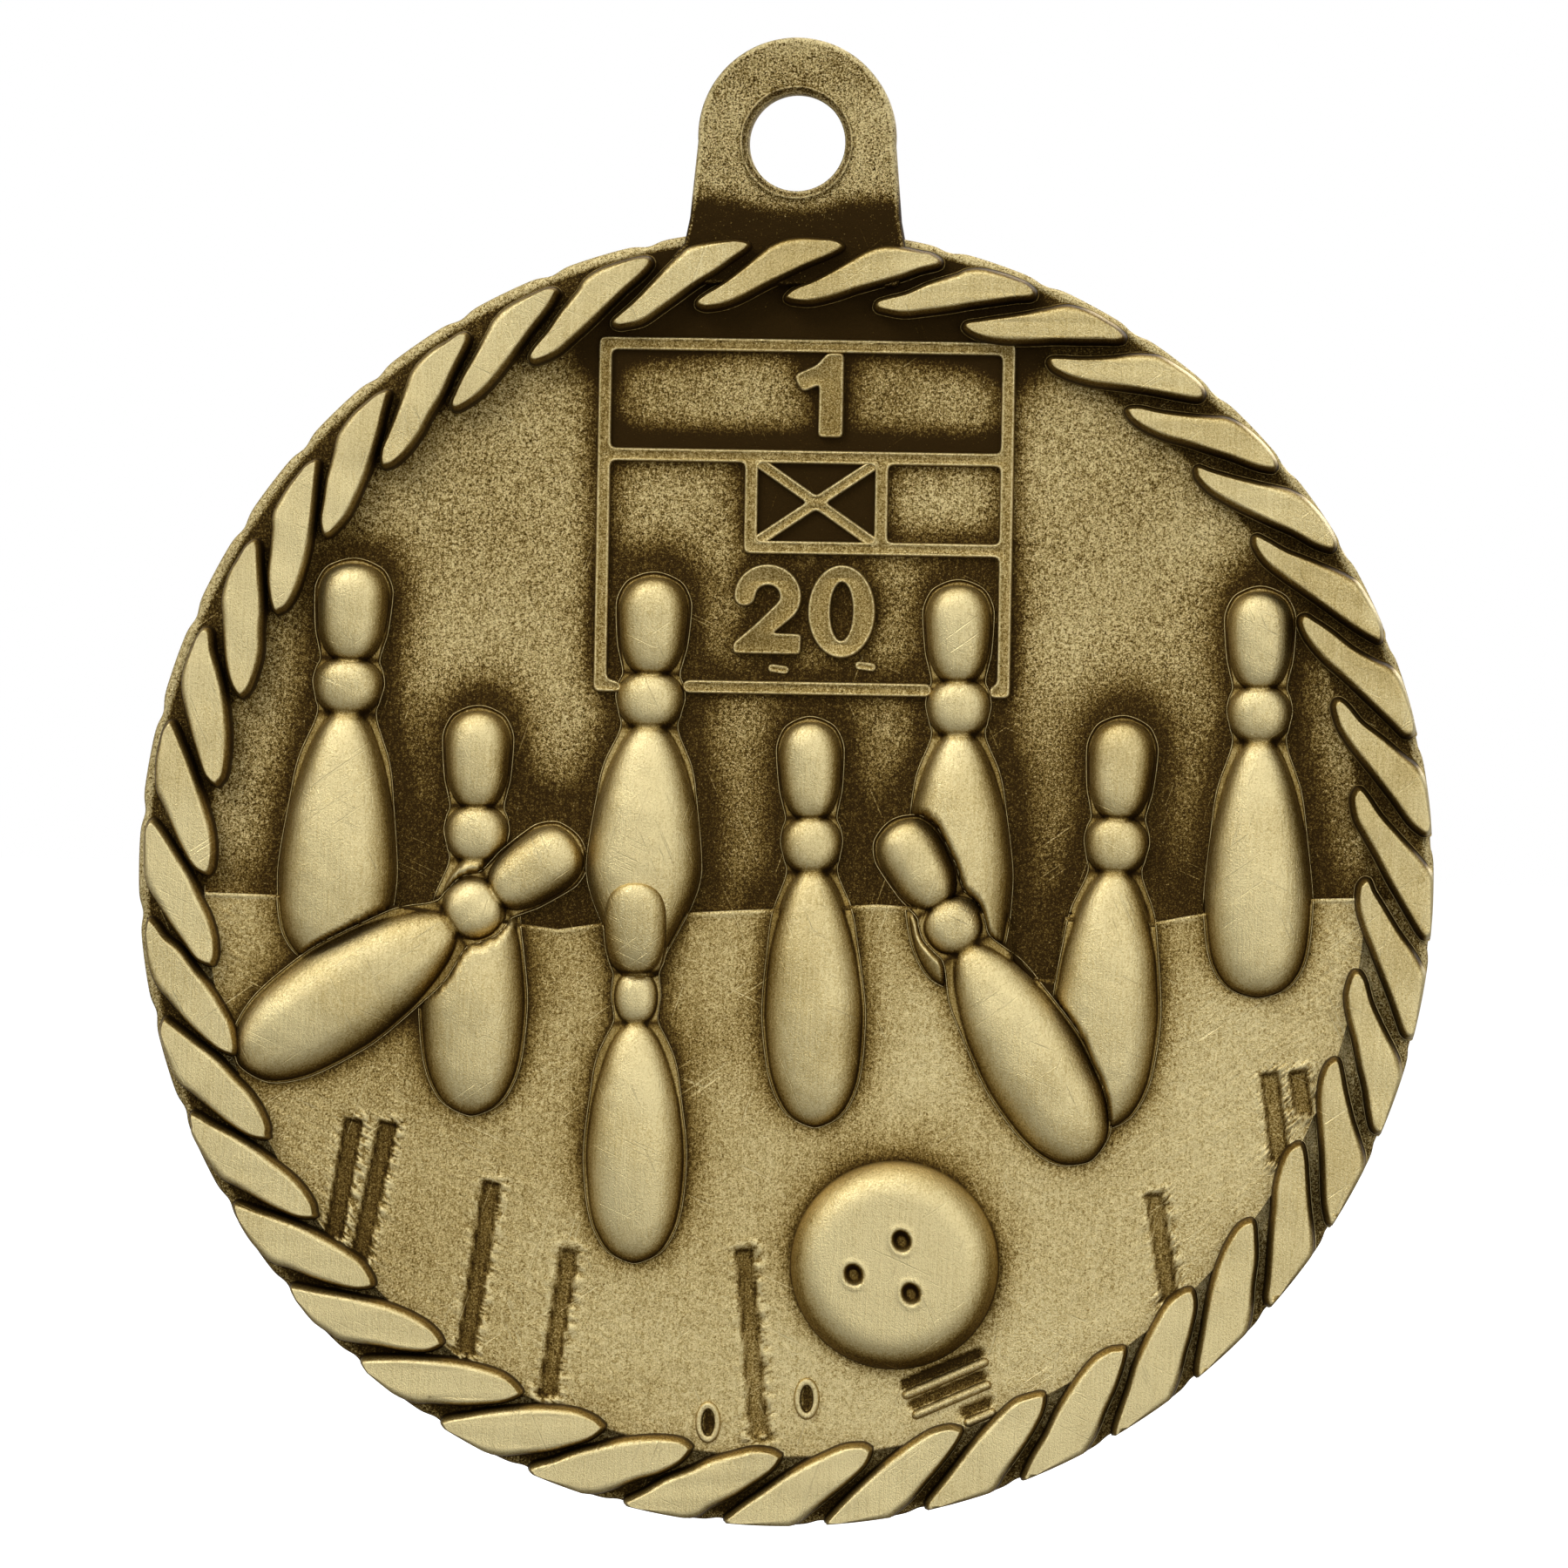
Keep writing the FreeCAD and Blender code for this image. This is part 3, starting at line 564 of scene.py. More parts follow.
def make_scoreboard_frame():
    """The raised lines of a score sheet: title cell, strike box, side cell and the open total cell."""
    half = LINE_WIDE / 2
    left, right = BOARD_LEFT, BOARD_LEFT + BOARD_WIDE
    top, bottom = BOARD_TOP, BOARD_TOP - BOARD_TALL
    title_foot = top - TITLE_TALL
    mark_foot = title_foot - MARK_TALL
    mark_left = left + MARK_LEFT
    mark_right = mark_left + MARK_WIDE
    stub, spur = left + FOOT_STUB, right - half - FOOT_SPUR
    outline = [
        (left - half, bottom - half), (stub, bottom - half), (stub, bottom + half * 0.4),
        (left + half, bottom + half), (left + half, title_foot - half),
        (mark_left - half, title_foot - half), (mark_left - half, mark_foot - half),
        (right - half, mark_foot - half), (right - half, bottom + half), (spur, bottom + half * 0.8),
        (spur, bottom - half), (right + half, bottom - half), (right + half, top + half),
        (left - half, top + half),
    ]
    openings = []
    for start, foot, end, head in (
        (left, title_foot, right, top), (mark_left, mark_foot, mark_right, title_foot),
        (mark_right, mark_foot, right, title_foot),
    ):
        west, south, east, north = start + half, foot + half, end - half, head - half
        corners = [(west, south), (east, south), (east, north), (west, north)]
        openings.append(straight_loop(corners, 0.16, 2))
    shell = Shell()
    plate(shell, straight_loop(outline, 0.16, 2), BOARD_CREST, openings)
    foot_line = bar_outline((left + FOOT_LINE[0], bottom), (left + FOOT_LINE[1], bottom), half)
    plate(shell, foot_line, BOARD_CREST)
    shell.piece("scoreboard_frame", "line")


def make_strike_mark():
    """The cross of the strike box, one plate whose arms run into the box's corners."""
    margin, arm_wide = 0.12, 0.42
    east, north = MARK_WIDE / 2 - margin, MARK_TALL / 2 - margin
    middle = (BOARD_LEFT + MARK_LEFT + MARK_WIDE / 2, BOARD_TOP - TITLE_TALL - MARK_TALL / 2)
    up = arm_wide * math.hypot(1, north / east) / 2
    along = up * east / north
    lower = [
        (-east, -north), (along - east, -north), (0, -up), (east - along, -north), (east, -north),
        (east, up - north), (along, 0), (east, north - up),
    ]
    arms = [(middle[0] + way * x, middle[1] + way * z) for way in (1, -1) for x, z in lower]
    shell = Shell()
    plate(shell, straight_loop(arms, 0.14, 1), BOARD_CREST - 0.02)
    shell.piece("strike_mark", "line")


def make_numeral_one():
    corners = [
        (1.04, 17.25), (1.98, 17.25), (1.98, 20.52), (1.35, 20.52), (0.95, 20.05), (0.10, 19.66),
        (0.14, 19.44), (0.40, 19.0), (1.06, 19.3),
    ]
    shell = Shell()
    plate(shell, straight_loop(corners, 0.12, 2), NUMERAL_CREST)
    shell.piece("numeral_1", "line")


def oval(centre, half_wide, half_tall):
    turns = np.linspace(0, 2 * math.pi, 56, endpoint=False)
    return centre + np.column_stack([half_wide * np.cos(turns), half_tall * np.sin(turns)])


def arc(centre, radii, start, end, count):
    """Points along an ellipse from start to end degrees, anticlockwise from +X."""
    turns = np.radians(np.linspace(start, end, count))
    return [(centre[0] + radii[0] * math.cos(t), centre[1] + radii[1] * math.sin(t)) for t in turns]


def make_numeral_twenty():
    """A two with a round bowl and a nought, side by side, and a small dash under each."""
    bowl = (-0.83, 10.98)
    two = arc(bowl, (1.30, 1.24), -38, 176, 20)
    two += arc((-1.74, 10.95), (0.40, 0.36), 200, 345, 6)
    two += arc(bowl, (0.50, 0.46), 160, -28, 9)
    two += [(-1.25, 9.9), (-2.14, 9.12), (-2.14, 8.74), (0.46, 8.74), (0.50, 9.50), (-0.62, 9.54)]
    shell = Shell()
    plate(shell, straight_loop(two, 0.12, 1), NUMERAL_CREST)
    middle = (2.07, 10.43)
    plate(shell, oval(middle, 1.30, 1.80), NUMERAL_CREST, [oval(middle, 0.46, 1.16)])
    for x, z in ((-0.37, 8.14), (3.04, 8.30)):
        plate(shell, bar_outline((x - 0.25, z + 0.03), (x + 0.25, z - 0.03), 0.14), FIELD + 0.08)
    shell.piece("numeral_20", "line")


# ---------------- ball
BALL_CENTRE = (4.6, -15.1)
BALL_RADIUS = 4.1
BALL_EDGE = 1.6
FINGER_HOLES = [(0.3, 1.0), (-1.55, -0.35), (0.7, -1.05)]
FINGER_RADIUS = 0.44
FINGER_DEPTH = 0.38
BALL_CELLS = 110


def disc_grid(radius, cells):
    """A square grid of points pulled out into a disc, row by row from the bottom."""
    side = np.linspace(-1, 1, cells + 1)
    a, b = np.meshgrid(side, side)
    a, b = a.ravel(), b.ravel()
    wide = np.abs(a) > np.abs(b)
    reach = np.where(wide, a, b)
    ratio = np.where(wide, b, a) / np.where(reach == 0, 1, reach)
    turn = np.where(wide, math.pi / 4 * ratio, math.pi / 2 - math.pi / 4 * ratio)
    return radius * np.column_stack([reach * np.cos(turn), reach * np.sin(turn)])


def make_bowling_ball():
    """A flat-crowned dome with three finger holes, each with a rolled lip, and a painted highlight on the
    lip below each hole.
    """
    flat = disc_grid(BALL_RADIUS, BALL_CELLS)
    radius = np.linalg.norm(flat, axis=1)
    rounding = np.clip((radius - (BALL_RADIUS - BALL_EDGE)) / BALL_EDGE, 0, 1)
    depth = LANE + (BALL_CREST - LANE) * (1 - rounding**2.6) ** 0.5 - 0.05 * (radius / BALL_RADIUS) ** 2
    tone = np.full(len(flat), -0.02)
    for hole in FINGER_HOLES:
        away = np.linalg.norm(turned(flat - hole, 25) / (0.9, 1.08), axis=1)
        sink = 1 - smooth_step(away, FINGER_RADIUS * 0.45, FINGER_RADIUS)
        lip = FINGER_RADIUS * 1.15
        depth += 0.03 * hill(away, lip, 0.1) - FINGER_DEPTH * sink
        highlight_below_hole = smooth_step(hole[1] - flat[:, 1], 0.2, 0.45)
        # painted highlight: the lip below each finger hole is lightened
        tone += 0.72 * sink - 0.12 * hill(away, lip, 0.16) * highlight_below_hole
    shell = Shell()
    shell.block(level(flat + BALL_CENTRE, depth), BALL_CELLS + 1, tone, LANE - BURIED)
    shell.piece("bowling_ball", "ball")


# ---------------- streaks and aiming dots
STREAKS = [((6.67, -19.5), 3.3), ((6.93, -20.33), 3.0), ((8.05, -21.0), 1.0)]
STREAK_LEAN = 24
SHADOW_LIFT, SHADOW_LONG = 0.42, 0.94  # the dark groove above each streak, as long as this share of it
AIMING_DOTS = [(1.25, -20.4), (-2.6, -21.4)]
DOT_HALVES, OPENING_HALVES = (0.48, 0.80), (0.26, 0.54)
DOT_RISE, DOT_BEAD = 0.15, 0.045


def streak_ends(centre, length, lift=0.0):
    """The ends of a streak, or of the line that lies lift above it."""
    along = np.array((math.cos(math.radians(STREAK_LEAN)), math.sin(math.radians(STREAK_LEAN))))
    across = np.array((-along[1], along[0]))
    middle = centre + across * lift
    return middle - along * length / 2, middle + along * length / 2


def make_motion_lines():
    """Short raised streaks behind the ball."""
    shell = Shell()
    for centre, length in STREAKS:
        streak = anticlockwise(bar_outline(*streak_ends(centre, length), 0.16))
        steps = [(-0.05, -BURIED, 0.4), (0, 0.10, 0.0), (0.06, 0.17, -0.2), (0.13, 0.20, -0.3)]
        shell.rings([(level(inset(streak, way), LANE + lift), tone) for way, lift, tone in steps], "caps")
    shell.piece("motion_lines", "line")


def make_aiming_dots():
    """Oval lips round the two sunk dots of the lane, up the outside, over a bead and into the opening."""
    shell = Shell()
    for centre in AIMING_DOTS:
        outside, inside = oval(centre, *DOT_HALVES), oval(centre, *OPENING_HALVES)
        steps = [
            (outside, -DOT_BEAD, -BURIED, 0.2), (outside, 0, DOT_RISE * 0.5, -0.1),
            (outside, DOT_BEAD, DOT_RISE * 0.95, -0.4), (outside, DOT_BEAD * 2, DOT_RISE, -0.42),
            (inside, -DOT_BEAD, DOT_RISE, -0.42), (inside, 0, DOT_RISE * 0.8, 0.1),
            (inside, DOT_BEAD, -BURIED, 0.6),
        ]
        rings = [(level(inset(loop, way), LANE + lift), tone) for loop, way, lift, tone in steps]
        shell.rings(rings, "tube")
    shell.piece("aiming_dots", "line")


# ---------------- lane
LANE_RADIUS = 22.75
BOARD_LINES = [
    ((-16.7, -9.8), (-17.45, -14.45)), ((-15.35, -9.9), (-16.45, -15.35)),
    ((-11.25, -12.15), (-12.2, -18.95)), ((-8.15, -14.75), (-8.95, -20.5)), ((-1.3, -14.6), (-0.6, -21.9)),
    ((14.7, -12.1), (15.4, -16.3)), ((19.1, -7.3), (19.6, -10.7)), ((20.2, -7.2), (20.5, -8.9)),
]
GROOVE_HALF, GROOVE_DEPTH = 0.35, 0.22
BURR_WIDE = 0.17


def cut_grooves(flat, depth, tone, rough):
    """Sinks the board lines into the lane, square-ended, their edges burred most at the right and foot."""
    specks = np.clip(0.5 + 1.4 * uneven(flat, 34.0) + 0.6 * uneven(flat, 21.0), 0, 1)
    for start, end in BOARD_LINES:
        run = np.array(end) - start
        long = np.linalg.norm(run)
        past_end = np.abs((flat - start) @ run / long - long / 2) - long / 2
        across = (flat - start) @ np.array((-run[1], run[0])) / long
        outside = np.maximum(np.abs(across) - GROOVE_HALF, past_end) + 0.5 * rough
        sink = 1 - smooth_step(outside, -0.07, 0.03)
        (low_z, low_x), (high_z, high_x) = sorted((z, x) for x, z in (start, end))
        line_x = np.interp(flat[:, 1], (low_z, high_z), (low_x, high_x))
        rightwards = smooth_step(flat[:, 0] - line_x, -0.2, 0.3)
        foot_clump = 1.9 * hill(np.linalg.norm(flat - end, axis=1), 0, 0.75)
        burr = hill(outside, 0.9 * BURR_WIDE, BURR_WIDE) * np.maximum(0.35 + 0.65 * rightwards, foot_clump)
        depth += 0.12 * burr * (specks - 0.3) - GROOVE_DEPTH * sink
        tone += 0.42 * sink - burr * (0.95 * specks - 0.3) + 0.3 * hill(outside, -0.02, 0.07)


def make_lane_floor():
    """The lane: a satin sheet with sunk board lines, streak shadows and dots, up to the horizon step."""
    columns, rows = 460, 205
    across = np.linspace(-1, 1, columns)
    x = LANE_RADIUS * 0.9995 * np.sin(across * math.pi / 2 * 0.995)
    top, bottom = horizon(x), -np.sqrt(LANE_RADIUS**2 - x**2)
    up = np.linspace(0, 1, rows)[:, None]
    flat = np.column_stack([np.tile(x, rows), (bottom + (top - bottom) * up).ravel()])
    depth = LANE + 0.015 * uneven(flat, 0.8) + 0.008 * uneven(flat, 14.0) + 0.006 * uneven(flat, 23.0)
    tone = np.zeros(len(flat))
    rough = 0.02 * uneven(flat, 8.0)
    cut_grooves(flat, depth, tone, rough)
    for centre, length in STREAKS:
        start, end = streak_ends(centre, length * SHADOW_LONG, SHADOW_LIFT)
        run = end - start
        share = np.clip((flat - start) @ run / (run @ run), 0, 1)
        away = np.linalg.norm(flat - start - share[:, None] * run, axis=1) + rough
        sink = 1 - smooth_step(away, 0.16, 0.26)
        depth -= 0.14 * sink
        tone += 0.72 * sink
    for centre in AIMING_DOTS:
        away = np.linalg.norm((flat - centre) / OPENING_HALVES, axis=1)
        sink = 1 - smooth_step(away, 0.8, 1.1)
        depth -= 0.15 * sink
        tone += 0.75 * sink
    lip = hill(np.tile(top, rows) - flat[:, 1], 0.08, 0.09)
    depth += 0.03 * lip
    tone -= 0.25 * lip
    shell = Shell()
    shell.block(level(flat, depth), columns, tone, FIELD - BURIED)
    shell.piece("lane_floor", "lane")


# ---------------- disc
RIM_ROUND = 0.30  # how far in from its edge the face begins to round off
ROPE_ROOT = 22.6  # where the field ends and the hollows between the strands begin
DISC_CELLS = 300


def make_medal_disc():
    """The plate: the field in front, a rim dipped between the strands' outer ends, and a flat back."""
    flat = disc_grid(DISC_RADIUS - RIM_ROUND, DISC_CELLS)
    depth = FIELD + 0.02 * uneven(flat, 0.7) + 0.006 * uneven(flat, 6.0)
    depth -= 0.12 * smooth_step(np.linalg.norm(flat, axis=1), ROPE_ROOT, ROPE_ROOT + 0.6)
    shell = Shell()
    border = shell.sheet(level(flat, depth), DISC_CELLS + 1, 0.0)
    edge = flat[border]
    outward = edge / np.linalg.norm(edge, axis=1, keepdims=True)
    degrees = np.degrees(np.arctan2(edge[:, 0], edge[:, 1])) - STRAND_START - STRAND_DIP
    pitch = 360 / STRAND_COUNT
    from_dip = np.abs((degrees + pitch / 2) % pitch - pitch / 2)
    dip = 0.13 * hill(from_dip, 0, 1.0)[:, None]
    rim = [
        (0.10, FIELD - 0.08, 1, 0.0), (0, FIELD - 0.25, 1, 0.1), (0, BACK + 0.35, 1, 0.1),
        (0.08, BACK + 0.08, 0, -0.2), (0.3, BACK, 0, -0.1), (1.6, BACK, 0, 0.0),
    ]  # how far in, depth, whether it is dipped, and tone
    shell.hem(border, [
        (level(outward * (DISC_RADIUS - inward - dip * dipped), depth), tone)
        for inward, depth, dipped, tone in rim
    ])
    shell.piece("medal_disc", "field")


# ---------------- hanging lug
LUG_CROWN = 3.86
LUG_RISE = 0.24
LUG_ROOT_HALF = 4.2


def make_hanging_lug():
    """A tongue with a round top, bevelled edges, pebbled faces and a rolled rim round the ring hole."""
    low = [(LUG_ROOT_HALF + 0.6, -4.55), (LUG_ROOT_HALF + 0.12, -4.0), (LUG_ROOT_HALF - 0.08, -3.0)]
    crown = arc((0, LUG_RISE), (LUG_CROWN, LUG_CROWN), -4, 184, 61)
    corners = low + crown + [(-x, z) for x, z in low[::-1]] + [(-4.0, -5.6), (4.0, -5.6)]
    outline = anticlockwise(straight_loop(corners, 0.2))
    turns = np.arctan2(outline[:, 1], outline[:, 0])
    aim = np.column_stack([np.cos(turns), np.sin(turns)])
    half, middle = (LUG_FACE - BACK) / 2, (LUG_FACE + BACK) / 2
    bevel_in, rim_outer = inset(outline, 0.24), aim * (HOLE_RADIUS + 0.37)
    front = [
        (outline, 0.26, 0.1), (inset(outline, 0.05), 0.10, -0.3), (inset(outline, 0.13), 0.02, -0.45),
        (bevel_in, 0.04, 0.05),
    ]
    front += [
        (bevel_in + (rim_outer - bevel_in) * share, 0.05, 0.0) for share in np.linspace(0.08, 0.94, 13)
    ]
    for outward, drop, tone in (
        (0.32, 0.07, 0.3), (0.28, -0.01, -0.4), (0.24, 0.01, 0.0), (0.21, 0.08, 0.35), (0.10, 0.20, 0.25),
        (0.06, 0.24, -0.3), (0, 0.34, 0.15),
    ):
        front.append((aim * (HOLE_RADIUS + outward), drop, tone))
    steps = []
    for side, rings in ((1, front), (-1, front[::-1])):
        for loop, drop, tone in rings:
            place = loop + (0, HOLE_Z)
            pebbles = 0.016 * uneven(place, 9.0) + 0.014 * uneven(place, 16.0)
            steps.append((level(place, middle + side * (half - drop + pebbles)), tone))
    shell = Shell()
    shell.rings(steps, "tube")
    shell.piece("hanging_lug", "lug")


for pin_number in PINS:
    make_pin(pin_number)
for strand_number in range(1, STRAND_COUNT + 1):
    make_rope_strand(strand_number)
make_scoreboard_frame()
make_strike_mark()
make_numeral_one()
make_numeral_twenty()
make_bowling_ball()
make_motion_lines()
make_aiming_dots()
make_lane_floor()
make_medal_disc()
make_hanging_lug()

# ---------------- where the patina lies
MAP_STEP = 0.12
MAP_HALF = 33.0
MAP_REACH = 24.5  # no rays are sent further out than this from the disc's centre


def cover_map(*kinds):
    """1 where a piece of these kinds shows from the front, and 0 elsewhere, on a square map."""
    side = np.arange(-MAP_HALF, MAP_HALF, MAP_STEP)
    cover = np.zeros((len(side), len(side)))
    points, faces = [], []
    for piece, kind in relief:
        if kind in kinds:
            offset = len(points)
            points += [tuple(vertex.co / MM) for vertex in piece.data.vertices]
            faces += [[offset + i for i in polygon.vertices] for polygon in piece.data.polygons]
    tree = BVHTree.FromPolygons(points, faces)
    for row, z in enumerate(side):
        for column, x in enumerate(side):
            if x * x + z * z < MAP_REACH**2:
                hit = tree.ray_cast(Vector((x + DISC_X, -5, z + DISC_Z)), Vector((0, 1, 0)), 6.0)[0]
                cover[row, column] = hit is not None and -hit.y > FIELD + 0.02
    return cover


def blurred(cover, spread):
    """The map softened by a Gaussian of that spread in millimetres."""
    waves = np.fft.fftfreq(cover.shape[0], MAP_STEP)
    soft = np.exp(-2 * (math.pi * spread) ** 2 * waves**2)
    return np.fft.ifft2(np.fft.fft2(cover) * soft[:, None] * soft[None]).real


def read_map(cover, x, z):
    column = np.clip((x + MAP_HALF) / MAP_STEP, 0, cover.shape[1] - 2)
    row = np.clip((z + MAP_HALF) / MAP_STEP, 0, cover.shape[0] - 2)
    c, r = column.astype(int), row.astype(int)
    across, up = column - c, row - r
    low = cover[r, c] * (1 - across) + cover[r, c + 1] * across
    high = cover[r + 1, c] * (1 - across) + cover[r + 1, c + 1] * across
    return low * (1 - up) + high * up


pin_cover = cover_map("pin", "ball")
rope_cover = cover_map("rope")
PIN_HALO = blurred(pin_cover, 1.1)
PIN_CLOSE = blurred(pin_cover, 0.35)
LINE_HALO = blurred(cover_map("line"), 0.55)
ROPE_HALO = blurred(rope_cover, 0.6)
ROPE_WIDE = blurred(rope_cover, 1.6)

BASE_PATINA = {"pin": 0.08, "ball": 0.03, "rope": 0.14, "line": 0.44, "lug": 0.40}
# How strongly the cast grain shows on each kind of piece.
GRIT = {"pin": 0.6, "ball": 0.6, "rope": 0.6, "line": 0.9, "lug": 1.7, "field": 1.15, "lane": 0.75}
# The rounded pieces, with painted shade on their slopes: the way that is painted darkest, across and up;
# how squarely a spot faces the front before any shade is painted; how much further it turns until the shade
# is full; and how much less shade is painted on the lit upper side.
SHADED_SLOPES = {"pin": ((0.45, -0.89), 0.975, 0.42, 0.26), "ball": ((0.1, -0.99), 0.992, 0.30, 0.36)}
PALE_RIM = 0.38  # the outermost part of the face, given its own tone: pale towards the top, darker towards the bottom
HALO_SHIFT = (0.15, 0.75)


def inside_box(x, z, left, foot, right, top):
    """1 inside a rectangle of the face, falling to 0 at its sides."""
    inward = np.minimum(np.minimum(x - left, right - x), np.minimum(z - foot, top - z))
    return smooth_step(inward, 0, 0.3)


def worn_side(x, z):
    """1 at the lower right of the border, beside the lane, where the hollows are worn to brown."""
    return smooth_step(x, 6, 16) * (1 - smooth_step(z, -2, 4))


def near_pin(x, z):
    """How near a pin or the ball is, its halo lying a little above it and to its right."""
    return read_map(PIN_HALO, x - HALO_SHIFT[0], z - HALO_SHIFT[1])


def field_patina(x, z, patches):
    """The field: dark round pins, lines and rope, in the board's cells, and between the strands."""
    edge = horizon(x)
    patina_and_shade = 0.42 + 1.7 * np.maximum(near_pin(x, z), 0) ** 1.2 + 0.08 * patches
    patina_and_shade += 1.3 * read_map(LINE_HALO, x, z - 0.25) + 0.35 * read_map(ROPE_HALO, x, z)
    patina_and_shade = np.minimum(patina_and_shade + 0.28 * smooth_step(edge + 2.4 - z, 0, 2.2), 0.98)
    above_board = smooth_step(z, 17.5, 21.0) * (1 - smooth_step(np.abs(x - 0.75), 8.0, 10.5))
    patina_and_shade += 0.8 * above_board * smooth_step(read_map(ROPE_WIDE, x, z), 0.03, 0.3)
    title_foot = BOARD_TOP - TITLE_TALL
    title = inside_box(x, z, BOARD_LEFT, title_foot, BOARD_LEFT + BOARD_WIDE, BOARD_TOP)
    patina_and_shade += title * (0.10 + 0.42 * smooth_step(title_foot + 1.9 - z, 0, 1.7))
    mark_left = BOARD_LEFT + MARK_LEFT
    patina_and_shade += 0.6 * inside_box(x, z, mark_left, title_foot - MARK_TALL, mark_left + MARK_WIDE, title_foot)
    radius = np.hypot(x, z)
    hollow = np.where(z > edge, 0.92, 0.45 + 0.5 * smooth_step(radius, ROPE_ROOT, ROPE_ROOT + 1.6))
    hollow = np.maximum(patina_and_shade * (z > edge), hollow - 0.3 * worn_side(x, z))
    patina_and_shade = np.where(radius > ROPE_ROOT, hollow, patina_and_shade)
    pale_rim = 0.7 - 0.5 * smooth_step(z / np.maximum(radius, 1), -0.7, 0.1)
    return np.where(radius > DISC_RADIUS - PALE_RIM, pale_rim, patina_and_shade)


def lane_patina(x, z, patches):
    """The lane: worn pale, a little darker close round the pins and rope and towards the left."""
    patina_and_shade = 0.17 + 0.62 * (read_map(PIN_CLOSE, x, z) + near_pin(x, z)) + 0.06 * patches
    patina_and_shade += 0.25 * read_map(ROPE_HALO, x, z) + 0.15 * smooth_step(-x, -8, 8)
    return patina_and_shade - 0.08 * smooth_step(-z, 14, 19)


def shade_and_foot_patina(kind, face, depth, facing, sideways):
    """Painted shade on the slopes of a pin or the ball, least on the lit upper side, and patina at its
    foot.
    """
    shaded_way, flattest, turning, less_on_lit_side = SHADED_SLOPES[kind]
    # painted shade: darker the further a spot turns from the front, and less on the side towards the light
    slope_shade = np.clip((flattest - facing) / turning, 0, 1) ** 0.9
    lit_side = np.clip(-(np.array(shaded_way) @ sideways), -1, 1)
    at_foot = 1 - smooth_step(depth - ground(face), 0.03, 0.28)
    return slope_shade * (0.50 - less_on_lit_side * lit_side) + 0.45 * at_foot


def rope_patina_and_shade(x, z, depth, facing, patches):
    """The rope: painted shade on its slopes, patina low down, and pale at the rim."""
    # painted shade: the strands darken where they turn away from the front
    patina_and_shade = BASE_PATINA["rope"] + 0.12 * patches + 0.55 * np.clip((0.97 - facing) / 0.5, 0, 1)
    patina_and_shade += 0.13 * smooth_step(x + 0.6 * z, 2, 16) - 0.05 * smooth_step(-z, 12, 20)
    patina_and_shade += (0.75 - 0.35 * worn_side(x, z)) * (1 - smooth_step(depth - FIELD, 0.15, 0.95))
    radius = np.hypot(x, z)
    pale = smooth_step(radius, DISC_RADIUS - PALE_RIM, DISC_RADIUS - 0.12)
    pale *= smooth_step(z / radius, -0.75, -0.1)
    return patina_and_shade + (0.15 - patina_and_shade) * pale


def lug_patina(x, z, face, on_back, patches):
    """What the lug holds: most at its foot, some over the ring hole, a little less on the back."""
    up = z - HOLE_Z
    at_foot = smooth_step(-up - 0.5 * hill(x, 0, 1.8), 1.5, 2.9)
    patina_and_shade = 0.85 * at_foot + 0.12 * patches + 0.09 * uneven(face, 11.0) - 0.12 * on_back
    return patina_and_shade + 0.20 * smooth_step(up, 1.4, 2.4) * (1 - smooth_step(up, 3.3, 3.75))


def read_values(collection, name, size=1):
    """A number or a vector for every vertex, as one row for each of its parts."""
    values = np.empty(len(collection) * size)
    collection.foreach_get(name, values)
    return values.reshape(-1, size).T


def lay_patina_and_shade(mesh, kind):
    """Writes the patina together with the painted shade and highlights: 0 is rubbed bright, 1 is nearly
    black.
    """
    across, towards_back, up = read_values(mesh.vertices, "co", 3) / MM
    x, depth, z = across - DISC_X, -towards_back, up - DISC_Z
    normal_x, normal_y, normal_z = read_values(mesh.vertices, "normal", 3)
    facing = -normal_y
    on_back = facing < -0.2
    face = np.column_stack([x, z])
    patches = uneven(face, 0.9)
    if kind == "field":
        patina_and_shade = field_patina(x, z, patches)
    elif kind == "lane":
        patina_and_shade = lane_patina(x, z, patches)
    else:
        patina_and_shade = BASE_PATINA[kind] + 0.05 * patches
    if kind in ("field", "lane"):
        back = 0.36 + 0.15 * patches + 0.08 * uneven(face, 2.6)
        patina_and_shade = np.where(on_back, back, patina_and_shade)
    if kind == "pin":
        # lighter and darker patches on the pins: painted reflections of the studio, together with mottled
        # patina
        patina_and_shade += 0.09 * uneven(face, 1.6)
    # painted shade on the slopes of the pins and the ball, and patina at their feet
    if kind in SHADED_SLOPES:
        patina_and_shade += shade_and_foot_patina(kind, face, depth, facing, np.stack([normal_x, normal_z]))
    if kind == "rope":
        patina_and_shade = rope_patina_and_shade(x, z, depth, facing, patches)
    if kind == "lug":
        patina_and_shade += lug_patina(x, z, face, on_back, patches)
    tone = read_values(mesh.attributes["tone"].data, "value")[0]
    # patina, with painted shade on the slopes of the pins, ball and rope and painted highlights on the
    # ball's lips
    write_values(mesh, "patina_and_shade", np.clip(patina_and_shade + tone, 0, 1.35))
    write_values(mesh, "grit", np.full(len(tone), GRIT[kind]))


for relief_piece, relief_kind in relief:
    lay_patina_and_shade(relief_piece.data, relief_kind)


# ---------------- materials
def srgb(red, green, blue):
    """A colour given as it looks on screen, 0 to 255, as the linear values that a shader takes."""
    shares = (red / 255, green / 255, blue / 255)
    return tuple(s / 12.92 if s <= 0.04045 else ((s + 0.055) / 1.055) ** 2.4 for s in shares) + (1.0,)


def grey(value):
    return (value, value, value, 1)


